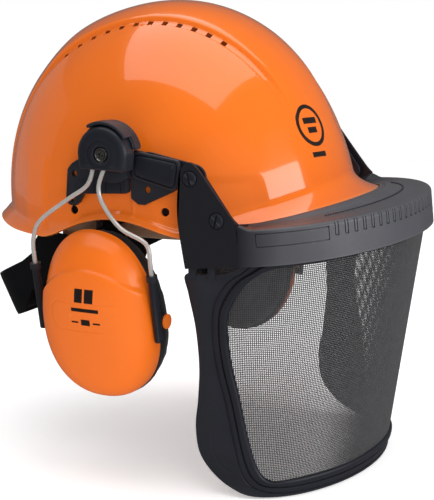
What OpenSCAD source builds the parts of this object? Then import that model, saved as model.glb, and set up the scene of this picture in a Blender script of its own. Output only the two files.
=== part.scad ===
// Safety helmet set: vented shell with suspension, hinged gauze visor with brow guard,
// and two swing-out ear muffs.
// +Z is up, -Y is the front, -X is the wearer's right side. Millimetres.
// The origin is the centre of the headband at the level where the set rests on the head.

/* [Shell] */
// Half width of the dome
dome_half_w = 106.8; // [106:0.2:107.2]
// Length of the dome ahead of its centre
dome_front = 122; // [120:1:123]
// Length of the dome behind its centre
dome_rear = 129.6; // [127:0.2:131]
// Height of the dome above its base plane
dome_h = 146.4; // [144:0.2:148]
// Nose-up pitch of the dome's base plane
dome_pitch = 15.2; // [14.6:0.2:15.6]
// Wall thickness
shell_t = 3; // [2.4:0.2:3.2]
// Height of the raised centre ridge
ridge_h = 1.8; // [1:0.2:2.4]
// Number of vents along each side of the ridge
vent_count = 12; // [4:1:12]

/* [Headband] */
// Half width inside the headband
head_half_w = 77; // [75:0.5:77]
// Half length of the head ellipse
head_half_l = 98; // [96:1:98]
// Height of the headband
band_h = 32; // [28:1:34]

/* [Visor] */
// Half width across the brow guard's ears
guard_half_w = 113.25; // [113.2:0.05:113.6]
// Reach of the brow guard ahead of its ears
guard_reach = 78; // [76:1:80]
// Height of the brow guard's wall
guard_wall_h = 23.5; // [22:0.5:24]
// Depth of the visor below the brow guard
visor_drop = 155; // [145:1:160]

/* [Ear muffs] */
// Half width of a cup, front to back
cup_half_w = 42; // [41:0.2:42.2]
// Half height of a cup
cup_half_h = 57; // [54:0.5:57.5]
// Depth of the cup shell
cup_depth = 29; // [27:0.5:30]
// Thickness of the ear cushion
cushion_t = 13; // [10:0.5:13]
// Radius of the steel arm wires
wire_r = 1.5; // [1.4:0.1:1.5]
// Length of a sleeve
sleeve_l = 47; // [45:1:48]

/* [Hidden] */

orange = [0.92, 0.42, 0.13];
anthracite = [0.14, 0.15, 0.19];
steel = [0.78, 0.78, 0.76];
leather = [0.55, 0.42, 0.33];
$fn = 48;

// ---------- dome ----------
dome_y = 24.7;
dome_z = -4.9;
front_power = 2.2;
rear_power = 2.02;
side_flat_x = 103.6;
around = 72;
rows = 20;
crown_cut = 0.985;
hole_y = [54.1, -13.6];
hole_z = [9.4, 12.6];
hole_r = 2.9;
vent_r = 1.7;
vent_pitch = 10.5;
vent_front_y = -24.3;

// ---------- hinges ----------
hinge_y = -6;
hinge_z = 44;
hinge_r = 4;
pivot_y = 19.6;
pivot_z = 51.4;
swing_x = 119.5;
swing_z = 45;
run_gap = 0.05;

// ---------- layers out from the shell's flat side ----------
clip_x = 103.8;
clip_t = 1.4;
arm_x = 105.4;
arm_t = 2;
cover_x = 107.6;
cover_t = 2.6;
bracket_t = 3.9;
disc_t = 5.2;
housing_x = 113.2;
housing_t = 12.6;

// ---------- brow guard ----------
guard_y = -71.5;
guard_z = 7.6;
guard_pitch = 5.5;
guard_t = 2.6;
ear_t = 2.4;
screw_upper = [-38.65, 38.2];
screw_lower = [-57.65, 12.6];
screw_r = 1.95;

// ---------- visor surface ----------
visor_top_z = -20.3;
visor_t = 3;
visor_steps = 3;

// ---------- cups ----------
cup_x = 103.3;
cup_y = 31.9;
cup_z = -59.8;
cup_lean = 10.6;
rim_out = -6;
sleeve_out = 8.7;
sleeve_top = 36;
sleeve_r = 2.9;
sleeve_gap = 44.8;

// ---------- helpers ----------
function lerp(a, b, k) = a + (b - a) * k;
function clamp01(k) = min(1, max(0, k));
function ease(k) = let (c = clamp01(k)) c * c * (3 - 2 * c);
function spow(v, p) = sign(v) * pow(abs(v), p);
function unit(v) = v / norm(v);
function tilt_x(p, a) = [p.x, p.y * cos(a) - p.z * sin(a), p.y * sin(a) + p.z * cos(a)];
function join(lists) = [for (l = lists) for (p = l) p];
function mean(pts) = [for (i = [0:2]) sum([for (p = pts) p[i]]) / len(pts)];
function sum(v, i = 0) = i < len(v) ? v[i] + sum(v, i + 1) : 0;

// Catmull-Rom point on a list of points
function spline(pts, i, k) =
    let (a = pts[max(i - 1, 0)], b = pts[i], c = pts[i + 1], d = pts[min(i + 2, len(pts) - 1)])
    0.5 * (2 * b + (c - a) * k + (2 * a - 5 * b + 4 * c - d) * k * k
        + (3 * b - a - 3 * c + d) * k * k * k);
function smooth_path(pts, n) = concat(
    [for (i = [0:len(pts) - 2]) for (j = [0:n - 1]) spline(pts, i, j / n)], [pts[len(pts) - 1]]);

function wall_faces(n, m, wrap) = [
    for (i = [0:m - (wrap ? 1 : 2)]) for (j = [0:n - 1])
        let (a = i * n + j, b = i * n + (j + 1) % n, c = ((i + 1) % m) * n + (j + 1) % n,
            d = ((i + 1) % m) * n + j)
        each [[a, b, c], [a, c, d]]
];

// Solid through a list of loops, closed by a fan at each end
module loft(rings) {
    n = len(rings[0]);
    m = len(rings);
    points = concat(join(rings), [mean(rings[0]), mean(rings[m - 1])]);
    ends = [for (j = [0:n - 1]) each
        [[m * n, (j + 1) % n, j], [m * n + 1, (m - 1) * n + j, (m - 1) * n + (j + 1) % n]]];
    polyhedron(points, concat(wall_faces(n, m, false), ends), convexity = 10);
}

// Solid through a list of thin strip loops, each out along one face and back along the other
module strip_loft(rings) {
    n = len(rings[0]);
    last = (len(rings) - 1) * n;
    ends = [for (j = [0:n / 2 - 2]) each
        [[j + 1, j, n - 1 - j], [j + 1, n - 1 - j, n - 2 - j],
         [last + j, last + j + 1, last + n - 2 - j], [last + j, last + n - 2 - j, last + n - 1 - j]]];
    polyhedron(join(rings), concat(wall_faces(n, len(rings), false), ends), convexity = 10);
}

// Solid through a list of loops that returns to the first
module ring_loft(rings) {
    polyhedron(join(rings), wall_faces(len(rings[0]), len(rings), true), convexity = 10);
}

module on_side(s) {
    if (s > 0) mirror([1, 0, 0]) children();
    else children();
}

// Plate drawn in the Y-Z plane, from x = -inner out to x = -(inner + t)
module side_plate(inner, t) {
    translate([-inner, 0, 0]) rotate([90, 0, -90]) linear_extrude(t) mirror([1, 0]) children();
}

// Round pin or hole along X on the right side, at [y, z]
module side_pin(p, r, inner, length) {
    translate([-inner, p[0], p[1]]) rotate([0, -90, 0]) cylinder(r = r, h = length);
}

module capsule(a, b, r) {
    d = unit(b - a);
    n = [-d[1], d[0]] * r;
    translate(a) circle(r);
    translate(b) circle(r);
    polygon([a + n, b + n, b - n, a - n]);
}

// Loop around a path's point i, for a path that runs across X
function wire_loop(path, i, r) =
    let (t = unit(path[min(i + 1, len(path) - 1)] - path[max(i - 1, 0)]),
        n = unit(cross(t, [1, 0, 0])), b = cross(t, n))
    [for (j = [0:11]) path[i] + r * (n * cos(30 * j) - b * sin(30 * j))];

module bent_rod(path, r) {
    loft([for (i = [0:len(path) - 1]) wire_loop(path, i, r)]);
}

// ---------- shell ----------
// Height of the rim: a rising line ahead of the ears, an arch over them, low at the nape
function rim_z(y) =
    (y < -27 ? -4 + 0.245 * (-27 - y) : lerp(-4, -11.5, ease((y + 27) / 100)) + 3 * ease((y - 105) / 40))
    + 13.4 * pow(max(0, 1 - pow((y - 28) / 52, 2)), 1.6);

function ridge_half_w(y) = 36 + 0.13 * (y + 24);
function ridge(x, y) = ridge_h * ease((ridge_half_w(y) - abs(x)) / 4 + 0.5)
    * ease((y + 88) / 36) * ease((122 - y) / 30);

// Outward flare at the rim: a peak at the front, a lip at the nape
function flare(a) = 2.2 + 15 * pow(max(0, -sin(a)), 3.6) + 7 * pow(max(0, sin(a)), 2);
function flare_h(a) = 10 + 6 * pow(max(0, -sin(a)), 2);

function dome_point(a, u, inset) =
    let (c = cos(a), s = sin(a), power = 2 / (s < 0 ? front_power : rear_power),
        w = dome_half_w - inset, l = (s < 0 ? dome_front : dome_rear) - inset,
        h = dome_h - inset, px = w * spow(c, power), py = l * spow(s, power),
        rim = (rim_z(dome_y + py * cos(dome_pitch)) - dome_z + py * sin(dome_pitch))
            / cos(dome_pitch),
        z = rim + (h - rim) * pow(sin(90 * u), 0.94),
        r = z <= 0 ? 1 : pow(max(0, 1 - pow(z / h, 2.123)), 0.4615),
        lip = flare(a) * pow(max(0, 1 - (z - rim) / flare_h(a)), 2),
        flat = side_flat_x - inset,
        q = [px * r, py * r],
        side = [sign(q[0]) * min(abs(q[0]), flat), q[1]] + lip * [c, s],
        p = tilt_x([side[0], side[1], z], -dome_pitch) + [0, dome_y, dome_z])
    p + unit(p - [0, dome_y, dome_z]) * ridge(p.x, p.y);

function dome_ring(u, inset) = [for (i = [0:around - 1]) dome_point(i * 360 / around, u, inset)];

function vent_y(i) = vent_front_y + i * vent_pitch;

module shell() {
    color(orange) difference() {
        loft(concat(
            [for (i = [rows:-1:0]) dome_ring(crown_cut * i / rows, 0)],
            [for (i = [0:rows]) dome_ring(crown_cut * i / rows, shell_t)]));
        for (s = [-1, 1]) for (i = [0, 1])
            translate([s * side_flat_x, hole_y[i], hole_z[i]]) rotate([0, 90, 0])
                cylinder(r = hole_r, h = 4 * shell_t, center = true);
        for (s = [-1, 1]) for (i = [0:vent_count - 1])
            let (y = vent_y(i), x = ridge_half_w(y) + 1.5)
                translate([s * x, y, 40]) cylinder(r = vent_r, h = dome_h, $fn = 16);
    }
}

// ---------- headband and suspension ----------
band_y = 15;
band_low = -9;
band_t = 1.6;
band_open = 22;

// Open U around the front of the head, out of the head ellipse by off
function head_curve(off, from, to, n) = [for (i = [0:n])
    let (a = lerp(from, to, i / n)) [(head_half_w + off) * cos(a), band_y + (head_half_l + off) * sin(a)]];
function band_shape(off, t, open) = concat(head_curve(off, 180 - open, 360 + open, 40),
    head_curve(off + t, 360 + open, 180 - open, 40));

// Size-adjusting tails hang from the two ends of the band
tail_y = 45.6;
tail_in = 71.8;
tail_t = 1.8;

module headband() {
    color(anthracite) {
        translate([0, 0, band_low]) linear_extrude(band_h) polygon(band_shape(0, band_t, band_open));
        for (s = [-1, 1]) on_side(s) {
            translate([-nape_x + 0.2, tail_y, band_low]) cube([nape_x - tail_in, 5, 12]);
            nape_frame() translate([-nape_x + 0.2, 3, -nape_w + 2]) cube([tail_t, 14, nape_w - 4]);
        }
    }
}

sweat_gap = 0.2;
sweat_t = 1.5;
sweat_open = 17;
sweat_wrap_h = 10;

module sweatband() {
    low = band_low - sweat_gap - sweat_t;
    inner = -sweat_gap - sweat_t;
    whole = band_t + 2 * (sweat_gap + sweat_t);
    color(leather) {
        translate([0, 0, low]) linear_extrude(band_h) polygon(band_shape(inner, sweat_t, sweat_open));
        translate([0, 0, low]) linear_extrude(sweat_t) polygon(band_shape(inner, whole, sweat_open));
        translate([0, 0, low]) linear_extrude(sweat_wrap_h)
            polygon(band_shape(band_t + sweat_gap, sweat_t, sweat_open));
    }
}

strap_w = 18;
strap_t = 1.2;
strap_step = 1.95;
strap_rise = 92;
strap_foot_z = 26;
strap_off = band_t + 0.1;
hanger_angles = [30, 90, 150];

// One textile strap: an arch across the head, level by level so that they stack at the crown
module crown_strap(i) {
    a = hanger_angles[i];
    foot = [(head_half_w + strap_off) * cos(a), (head_half_l + strap_off) * sin(a)];
    reach = norm(foot);
    top = strap_rise + i * strap_step;
    color(anthracite) translate([0, band_y, 0])
        rotate([0, 0, atan2(foot[1], foot[0])])
            rotate([90, 0, 0]) translate([0, 0, -strap_w / 2]) linear_extrude(strap_w)
                polygon(concat(
                    [for (k = [0:3:180]) [reach * cos(k), strap_foot_z + (top - strap_foot_z) * sin(k)]],
                    [for (k = [180:-3:0]) [(reach - strap_t) * cos(k),
                        strap_foot_z + (top - strap_t - strap_foot_z) * sin(k)]]));
}

module crown_strap_low() { crown_strap(0); }
module crown_strap_mid() { crown_strap(1); }
module crown_strap_top() { crown_strap(2); }

module crown_stitch_pad() {
    top = strap_rise + 2 * strap_step + 0.05;
    color(anthracite) translate([0, band_y, top]) cylinder(r = 14, h = 1.2);
}

hanger_w = 24;
hanger_low = 12;
hanger_h = 18;
pocket_low = 23.8;
anchor_low = 14;
anchor_h = 8;
anchor_bite = 0.8;

// Six clips: a pocket for a strap's foot, and an anchor pressed into the shell's inner wall
module hanger_clips() {
    color(anthracite) for (a = [30, 90, 150, 210, 270, 330]) {
        foot = [(head_half_w + band_t + 0.2) * cos(a), (head_half_l + band_t + 0.2) * sin(a)];
        dir = atan2(foot[1], foot[0]);
        from = norm(foot);
        wall = wall_reach(dir, anchor_low + anchor_h / 2);
        translate([0, band_y, 0]) rotate([0, 0, dir]) {
            translate([from, -hanger_w / 2, hanger_low]) cube([1.8, hanger_w, hanger_h]);
            translate([from, -3, anchor_low + 2]) cube([wall - from - 1, 6, 4]);
            translate([wall - 3, -hanger_w / 4, anchor_low])
                cube([3 + anchor_bite, hanger_w / 2, anchor_h]);
            difference() {
                translate([from - 2.8, -hanger_w / 2, pocket_low])
                    cube([3, hanger_w, hanger_low + hanger_h - pocket_low]);
                translate([from - 1.6, -strap_w / 2 - 0.3, pocket_low - 1])
                    cube([1.6, strap_w + 0.6, hanger_h]);
            }
        }
    }
}

// Distance from the head's centre to the nearest sample of the inner wall, for a plan direction
// and a height
function wall_reach(dir, z) =
    let (samples = [for (i = [0:around - 1]) for (k = [0.02:0.03:0.35])
            let (p = dome_point(i * 360 / around, k, shell_t), q = [p.x, p.y - band_y],
                turn = abs(((atan2(q[1], q[0]) - dir + 540) % 360) - 180))
            [pow(turn, 2) + pow(p.z - z, 2), norm(q)]],
        best = min([for (m = samples) m[0]]))
    [for (m = samples) if (m[0] == best) m[1]][0];

// ---------- nape band ----------
nape_slope = 27;
nape_w = 18;
nape_x = 82.4;
nape_t = 2;
nape_start = [40, -2];
nape_lead = 8;
nape_len = 90;
nape_rear_l = 36;
nape_h = 32;
nape_rise = 3;
// Side outline of an arm, along and up from its start, with a flare before the cradle
nape_arm = [[-nape_lead, -nape_w], [nape_len, -nape_w], [nape_len, nape_rise], [76, nape_rise], [68, 4.5], [61, 12],
    [55, 15], [46, 12.5], [36, 6], [27, 0], [-nape_lead, 0]];

module nape_frame() {
    translate([0, nape_start[0], nape_start[1]]) rotate([-nape_slope, 0, 0]) children();
}

function nape_curve(off) = [for (k = [0:5:180])
    [(nape_x + off) * cos(k), nape_len + (nape_rear_l + off) * sin(k)]];

module nape_band() {
    color(anthracite) nape_frame() difference() {
        union() {
            for (s = [-1, 1]) translate([s * (nape_x + nape_t / 2) - nape_t / 2, 0, 0])
                rotate([90, 0, 90]) linear_extrude(nape_t) polygon(nape_arm);
            translate([0, 0, nape_rise - nape_h]) linear_extrude(nape_h)
                polygon(concat(nape_curve(0), [for (i = [36:-1:0]) nape_curve(nape_t)[i]]));
        }
        for (s = [-1, 1]) {
            for (y = slot_ends) translate([s * nape_x - 5, y, -nape_w / 2]) rotate([0, 90, 0])
                cylinder(r = stud_r + run_gap, h = 10);
            translate([s * nape_x - 5, slot_ends[0], -nape_w / 2 - stud_r - run_gap])
                cube([10, slot_ends[1] - slot_ends[0], 2 * (stud_r + run_gap)]);
        }
    }
}

module nape_pad() {
    color(leather) nape_frame() translate([0, 0, nape_rise - nape_h + 4]) linear_extrude(nape_h - 8)
        polygon(concat([for (i = [6:30]) nape_curve(-3.3)[i]], [for (i = [30:-1:6]) nape_curve(-0.3)[i]]));
}

stud_y = 8;
stud_r = 2.2;
slot_ends = [-0.3, 24.3];

// Studs on the headband's tails that hold the nape band by its slots
module nape_studs() {
    color(anthracite) for (s = [-1, 1]) on_side(s) nape_frame()
        translate([-nape_x + 0.1, stud_y, -nape_w / 2]) rotate([0, -90, 0]) {
            cylinder(r = stud_r, h = nape_t + 0.4);
            translate([0, 0, nape_t + 0.25]) cylinder(r = 4, h = 1.2);
        }
}

// ---------- brow guard ----------
function guard_edge(a, w, l) = [-w * cos(a), -l * sin(a)];

// Inner edge of the guard's top, a running gap outside the shell's peak
lip_from = 44;
lip_gap = 0.9;
function guard_lip(a) =
    let (e = dome_point(180 + lerp(lip_from, 180 - lip_from, a / 180), 0, 0))
    e + lip_gap * unit([e.x, e.y + 10, 0]) + [0, 0, 0.4];
function to_guard(p) = tilt_x([p[0], p[1] - guard_y, p[2] - guard_z], guard_pitch);

function guard_section(a) =
    let (o = guard_edge(a, guard_half_w, guard_reach),
        i = guard_edge(a, guard_half_w - guard_t, guard_reach - guard_t),
        e = guard_edge(a, guard_half_w - 1.6, guard_reach - 1.6), lip = to_guard(guard_lip(a)))
    [[o[0], o[1], -guard_wall_h], [o[0], o[1], -1.6], [e[0], e[1], 0], lip,
        lip - [0, 0, guard_t], [i[0], i[1], -guard_t], [i[0], i[1], -guard_wall_h]];

module guard_frame() {
    translate([0, guard_y, guard_z]) rotate([-guard_pitch, 0, 0]) children();
}

// Outline of an ear, as [y, z]
ear_outline = [[-79, 6.4], [-74, 8.4], [-69.8, 12.4], [-45, 43.6], [-40.6, 47.4], [-35.4, 47.6],
    [-31.8, 42.6], [-29.8, 29], [-29.4, 14], [-31, 0], [-34.6, -20.6], [-79, -15.2]];

module brow_guard() {
    color(anthracite) difference() {
        union() {
            guard_frame() loft([for (i = [0:48]) guard_section(i * 180 / 48)]);
            for (s = [-1, 1]) on_side(s)
                side_plate(guard_half_w - guard_t + 0.1, ear_t) polygon(ear_outline);
        }
        for (s = [-1, 1]) on_side(s) for (p = [screw_upper, screw_lower])
            side_pin(p, screw_r + run_gap, guard_half_w - 5, 8);
    }
}

module guard_screws() {
    color(anthracite) for (s = [-1, 1]) on_side(s) for (p = [screw_upper, screw_lower]) {
        side_pin(p, screw_r, arm_x + 0.2, guard_half_w - arm_x);
        difference() {
            side_pin(p, 4.8, guard_half_w - 0.05, 1.4);
            translate([-guard_half_w - 1.4, p[0], p[1]]) rotate([8, 0, 0])
                cube([1.2, 1.4, 8], center = true);
        }
    }
}

// ---------- visor ----------
// Point on the visor's curved surface: q is the plan angle, or mm behind it below 0 and past 180;
// h runs from 0 at the guard to 1 at the bottom; off is outward
function visor_point(q, h, off) =
    let (w = lerp(109.8, 99, h) + off, l = lerp(73.4, 57.5, h) + off, y = lerp(-72.5, -63, h),
        z = visor_top_z - visor_drop * h + 0.09 * (guard_y - y) * (1 - h),
        a = min(180, max(0, q)), back = max(0, -q, q - 180),
        py = y - l * pow(sin(a), 1.08) + back)
    [-w * cos(a), py, z + 0.07 * (1 - h) * (y - py)];

// Half outline of the frame from its top middle to its bottom middle:
// [outer q, outer h, inner q, inner h]
frame_half = [
    [90, -0.08, 90, -0.025], [60, -0.08, 60, -0.025], [34, -0.08, 36, -0.02], [12, -0.07, 20, -0.015],
    [-8, 0.0, 11, 0.01], [-26, 0.012, 3, 0.055], [-40, 0.016, -4, 0.12], [-37.5, 0.1, -8.5, 0.19],
    [-32, 0.25, -8.5, 0.29], [-29, 0.42, -5, 0.42], [-29.5, 0.57, 2, 0.58], [-31, 0.7, 7, 0.71],
    [-27, 0.83, 12, 0.82], [-13, 0.93, 17, 0.89], [6, 0.985, 24, 0.925], [28, 1, 34, 0.925],
    [58, 1, 60, 0.92], [90, 1, 90, 0.915]
];
function mirror_key(k) = [180 - k[0], k[1], 180 - k[2], k[3]];
frame_right = smooth_path(frame_half, visor_steps);
frame_keys = concat(frame_right, [for (i = [len(frame_right) - 2:-1:1]) mirror_key(frame_right[i])]);

function frame_section(k) = concat(
    [for (j = [0:3]) visor_point(lerp(k[0], k[2], j / 3), lerp(k[1], k[3], j / 3), 0)],
    [for (j = [3:-1:0]) visor_point(lerp(k[0], k[2], j / 3), lerp(k[1], k[3], j / 3), -visor_t)]);

module visor_frame() {
    color(anthracite) ring_loft([for (k = frame_keys) frame_section(k)]);
}

// Gauze sheet, moulded into the frame's inner border: [h, q] of its edge from top to bottom
mesh_t = 0.8;
mesh_steps = 2;
mesh_columns = 32;
mesh_edge = smooth_path([
    [-0.05, 14], [0, 4], [0.06, -4], [0.13, -8], [0.2, -10], [0.3, -10], [0.42, -7], [0.5, -3], [0.58, 0.5],
    [0.66, 3], [0.74, 6], [0.82, 10], [0.88, 14], [0.92, 20], [0.945, 30]
], mesh_steps);
function mesh_loop(h, q) = concat(
    [for (j = [0:mesh_columns]) visor_point(lerp(q, 180 - q, j / mesh_columns), h, -1.1)],
    [for (j = [mesh_columns:-1:0]) visor_point(lerp(q, 180 - q, j / mesh_columns), h, -1.1 - mesh_t)]);

module visor_mesh() {
    color(steel) strip_loft([for (e = mesh_edge) mesh_loop(e[0], e[1])]);
}

lug_y = [-54.5, -40.5];

// Lugs that key the visor frame's cheeks to the guard
module frame_lugs() {
    color(anthracite) for (s = [-1, 1]) on_side(s)
        for (y = lug_y) translate([-guard_half_w + guard_t + 0.1, y, -27]) cube([2.8, 5, 12]);
}

// ---------- visor hinge ----------
module visor_arm(s) {
    hub = [hinge_y, hinge_z];
    color(anthracite) on_side(s) difference() {
        union() {
            side_plate(arm_x, arm_t) {
                capsule(hub, screw_upper, 8.5);
                capsule(screw_upper, screw_lower, 7);
            }
            for (p = [screw_upper, screw_lower])
                side_pin(p, 5, arm_x + arm_t - 0.5, guard_half_w - guard_t - arm_x - arm_t + 0.55);
        }
        side_pin(hub, hinge_r + run_gap, arm_x - 1, arm_t + 2);
        for (p = [screw_upper, screw_lower]) side_pin(p, screw_r + run_gap, arm_x - 1, 10);
    }
}

// Cover and tab outlines, as [y, z]
cover_outline = [[6, 36.5], [6, 51], [3.8, 53], [-26, 48.6], [-29.6, 46.4], [-30, 43], [-28.4, 33.4],
    [-26.4, 30], [-22.6, 28.6], [4.4, 35.2]];
clip_outline = [[9.4, 20.6], [9.4, 50], [6, 53], [-26, 48.6], [-29.6, 46.4], [-30, 43], [-28.4, 31],
    [-22, 27], [-8, 20.4], [-1, 17], [4, 17]];
tab_hole = [-3.4, 27.3];
tab_hole_r = 2.2;

module visor_clip(s) {
    color(anthracite) on_side(s) difference() {
        union() {
            side_plate(clip_x, clip_t) polygon(clip_outline);
            side_pin([hinge_y, hinge_z], hinge_r, clip_x + 0.2, cover_x - clip_x - 0.2);
            side_plate(clip_x + 0.2, cover_x - clip_x - 0.2) translate([4.4, 38]) square([1.6, 12]);
        }
        side_pin(tab_hole, tab_hole_r, clip_x - 1, 6);
    }
}

module clip_cover(s) {
    color(anthracite) on_side(s) side_plate(cover_x + 0.02, cover_t) polygon(cover_outline);
}

// ---------- muff bracket ----------
bracket_outline = [[10.2, 24], [10.2, 52], [6, 59], [10, 66], [19.6, 69], [30, 67], [38, 58], [42, 48],
    [53, 41.6], [56.6, 37.6], [58.4, 16.6], [56, 13.2], [51.6, 12.6], [48, 15.2], [44.6, 21.4]];
ear_holes = [[50.8, 34.6], [53.2, 17.6]];
ear_hole_r = 2.2;

module muff_bracket(s) {
    color(anthracite) on_side(s) difference() {
        side_plate(clip_x, bracket_t) polygon(bracket_outline);
        for (p = ear_holes) side_pin(p, ear_hole_r, clip_x - 1, 6);
    }
}

hood_r = 19.4;

hood_t = 2;
hood_l = 16.2;
hood_low = 12;
disc_r = 20;

// Click disc with the hood that shields the top of the housing; its lower front is cut away
// for the clip cover
module click_disc(s) {
    x = clip_x + bracket_t + 0.02;
    pivot = [pivot_y, pivot_z];
    color(anthracite) on_side(s) difference() {
        union() {
            side_plate(x, disc_t) difference() {
                translate(pivot) circle(disc_r);
                translate([pivot_y - 32, pivot_z - 28]) square([20, 31]);
            }
            side_plate(x, hood_l) difference() {
                translate(pivot) circle(hood_r + hood_t);
                translate(pivot) circle(hood_r);
                translate([pivot_y - 40, pivot_z - 66]) square([80, 66 + hood_low]);
            }
        }
        side_pin(pivot, pin_bore_r, x - 1, disc_t + 2);
    }
}

pivot_pin_r = 2.5;
pin_bore_r = 2.55;
housing_r = 18.3;
housing_foot = 10.8;
slot_y = [14.6, 32.4];
slot_x = [117.2, 124.2];

module pivot_housing(s) {
    color(anthracite) on_side(s) difference() {
        side_plate(housing_x, housing_t) {
            difference() {
                translate([pivot_y, pivot_z]) circle(housing_r);
                translate([pivot_y - 20, pivot_z - housing_foot - 20]) square([40, 20]);
            }
            translate([pivot_y - 17.4, pivot_z - housing_foot]) square([34.8, housing_foot]);
        }
        side_pin([pivot_y, pivot_z], 5.4, housing_x + housing_t - 2.6, 4);
        side_pin([pivot_y, pivot_z], pivot_pin_r + 0.02, housing_x - 1, housing_t + 2);
        translate([-slot_x[1], slot_y[0], pivot_z - 13])
            cube([slot_x[1] - slot_x[0], slot_y[1] - slot_y[0], 9.6]);
        translate([-swing_x, slot_y[0] - 3.6, swing_z]) rotate([-90, 0, 0])
            cylinder(r = wire_r + run_gap, h = slot_y[1] - slot_y[0] + 7.2);
    }
}

module pivot_screw(s) {
    color(steel) on_side(s) {
        side_pin([pivot_y, pivot_z], pivot_pin_r, clip_x + bracket_t + 0.4,
            housing_x + housing_t - clip_x - bracket_t - 2.4);
        difference() {
            side_pin([pivot_y, pivot_z], 5, housing_x + housing_t - 2.55, 2.2);
            for (a = [0, 90]) translate([-housing_x - housing_t, pivot_y, pivot_z])
                rotate([a + 20, 0, 0]) cube([2.4, 1.2, 5], center = true);
        }
    }
}

// ---------- muff arm ----------
bar_y = [18.9, 28];
front_bends = [[24.8, 30], [21.6, 18], [9, 3.6], [-9.8, -5]];
rear_bends = [[33.2, 30.4], [48.5, 19.7], [70.3, 4.1], [76.2, -7.6]];

// Point in the leaned frame of a cup, for the right side
function leaned(p) = let (a = cup_lean)
    [-cup_x + p.x * cos(a) - p.z * sin(a), cup_y + p.y, cup_z + p.x * sin(a) + p.z * cos(a)];

function wire_path(y0, bends, gap) =
    let (top = leaned([-sleeve_out, gap, sleeve_top + 9]),
        end = leaned([-sleeve_out, gap, sleeve_top + 3]))
    concat([[-swing_x, y0, swing_z]],
        [for (b = bends) [lerp(-swing_x, top.x, clamp01((swing_z - b[1]) / (swing_z - top.z))),
            b[0], b[1]]],
        [top, end]);

// Arm wire: bends from the bar to a straight tail that the sleeve slides on
module arm_wire(y0, bends, gap) {
    bent_rod(smooth_path(wire_path(y0, bends, gap), 5), wire_r - 0.04);
    lean_frame() translate([-sleeve_out, gap, sleeve_top - 33]) cylinder(r = wire_r, h = 41);
}

module wire_front(s) {
    color(steel) on_side(s) arm_wire(bar_y[0], front_bends, -sleeve_gap);
}

module wire_rear(s) {
    color(steel) on_side(s) arm_wire(bar_y[1], rear_bends, sleeve_gap);
}

module wire_bar(s) {
    color(steel) on_side(s) translate([-swing_x, slot_y[0] - 3.2, swing_z]) rotate([-90, 0, 0])
        cylinder(r = wire_r, h = slot_y[1] - slot_y[0] + 6.4);
}

module lean_frame() {
    translate([-cup_x, cup_y, cup_z]) rotate([0, -cup_lean, 0]) children();
}

lug_t = 3;
lug_r = 5.2;
pin_r = 2.5;

// Sleeve that slides on a wire, with the lug that carries the cup
module sleeve(end) {
    lug_y = end * sleeve_gap - lug_t / 2;
    translate([-sleeve_out, end * sleeve_gap, sleeve_top - sleeve_l])
        cylinder(r = sleeve_r, h = sleeve_l);
    translate([-sleeve_out, end * sleeve_gap, sleeve_top - 4]) cylinder(r = sleeve_r + 0.8, h = 4);
    translate([0, lug_y, 0]) rotate([-90, 0, 0]) cylinder(r = lug_r, h = lug_t);
    translate([-sleeve_out, lug_y, -3.4]) cube([sleeve_out, lug_t, 6.8]);
}

module sleeve_cuts(end) {
    translate([-sleeve_out, end * sleeve_gap, sleeve_top - sleeve_l + 3])
        cylinder(r = wire_r + run_gap, h = sleeve_l + 2);
    translate([0, end * sleeve_gap - 6, 0]) rotate([-90, 0, 0]) cylinder(r = pin_r + run_gap, h = 12);
}

module sleeve_front(s) {
    color(anthracite) on_side(s) lean_frame() difference() {
        sleeve(-1);
        sleeve_cuts(-1);
    }
}

module sleeve_rear(s) {
    color(anthracite) on_side(s) lean_frame() difference() {
        sleeve(1);
        sleeve_cuts(1);
    }
}

// ---------- cup ----------
cup_around = 48;
cup_rows = 9;
cup_wall = 2.4;

// Loop of the cup's outline; the top is a little narrower than the bottom
function cup_loop(w, h, x) = [for (i = [0:cup_around - 1])
    let (a = i * 360 / cup_around, c = cos(a), s = sin(a))
    [x, w * spow(c, 0.92) * (1 - 0.06 * s), h * spow(s, 0.92)]];

function cup_ring(k, inset) =
    let (g = pow(max(0, 1 - pow(k, 2.5)), 0.4), d = (cup_depth - inset) * k)
    cup_loop((cup_half_w - inset) * g, (cup_half_h - inset) * g, -rim_out - 8 - d);

module cup_shell(s) {
    color(orange) on_side(s) lean_frame() loft(concat(
        [for (i = [cup_rows:-1:0]) cup_ring(sin(84 * i / cup_rows), cup_wall)],
        [for (i = [0:cup_rows]) cup_ring(sin(84 * i / cup_rows), 0)]));
}

plate_t = 3.4;

module cup_ring_solid(w, h, hole_w, hole_h, x0, x1) {
    ring_loft([for (i = [0:cup_around - 1])
        let (o = cup_loop(w, h, 0)[i], n = cup_loop(hole_w, hole_h, 0)[i])
        [[x0, o.y, o.z], [x0, n.y, n.z], [x1, n.y, n.z], [x1, o.y, o.z]]]);
}

module cup_plate(s) {
    x = -rim_out - 7.95;
    color(anthracite) on_side(s) lean_frame()
        cup_ring_solid(cup_half_w + 0.8, cup_half_h + 0.8, cup_half_w - 14, cup_half_h - 14, x + plate_t, x);
}

module cup_pins(s) {
    color(orange) on_side(s) lean_frame() for (e = [-1, 1]) {
        out = sleeve_gap + lug_t / 2 + 0.2;
        translate([0, e * out, 0]) rotate([-90 * e, 0, 0]) cylinder(r = 5, h = 1.4);
        translate([0, e * (cup_half_w - 0.5), 0]) rotate([-90 * e, 0, 0])
            cylinder(r = pin_r, h = out - cup_half_w + 0.7);
    }
}

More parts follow.
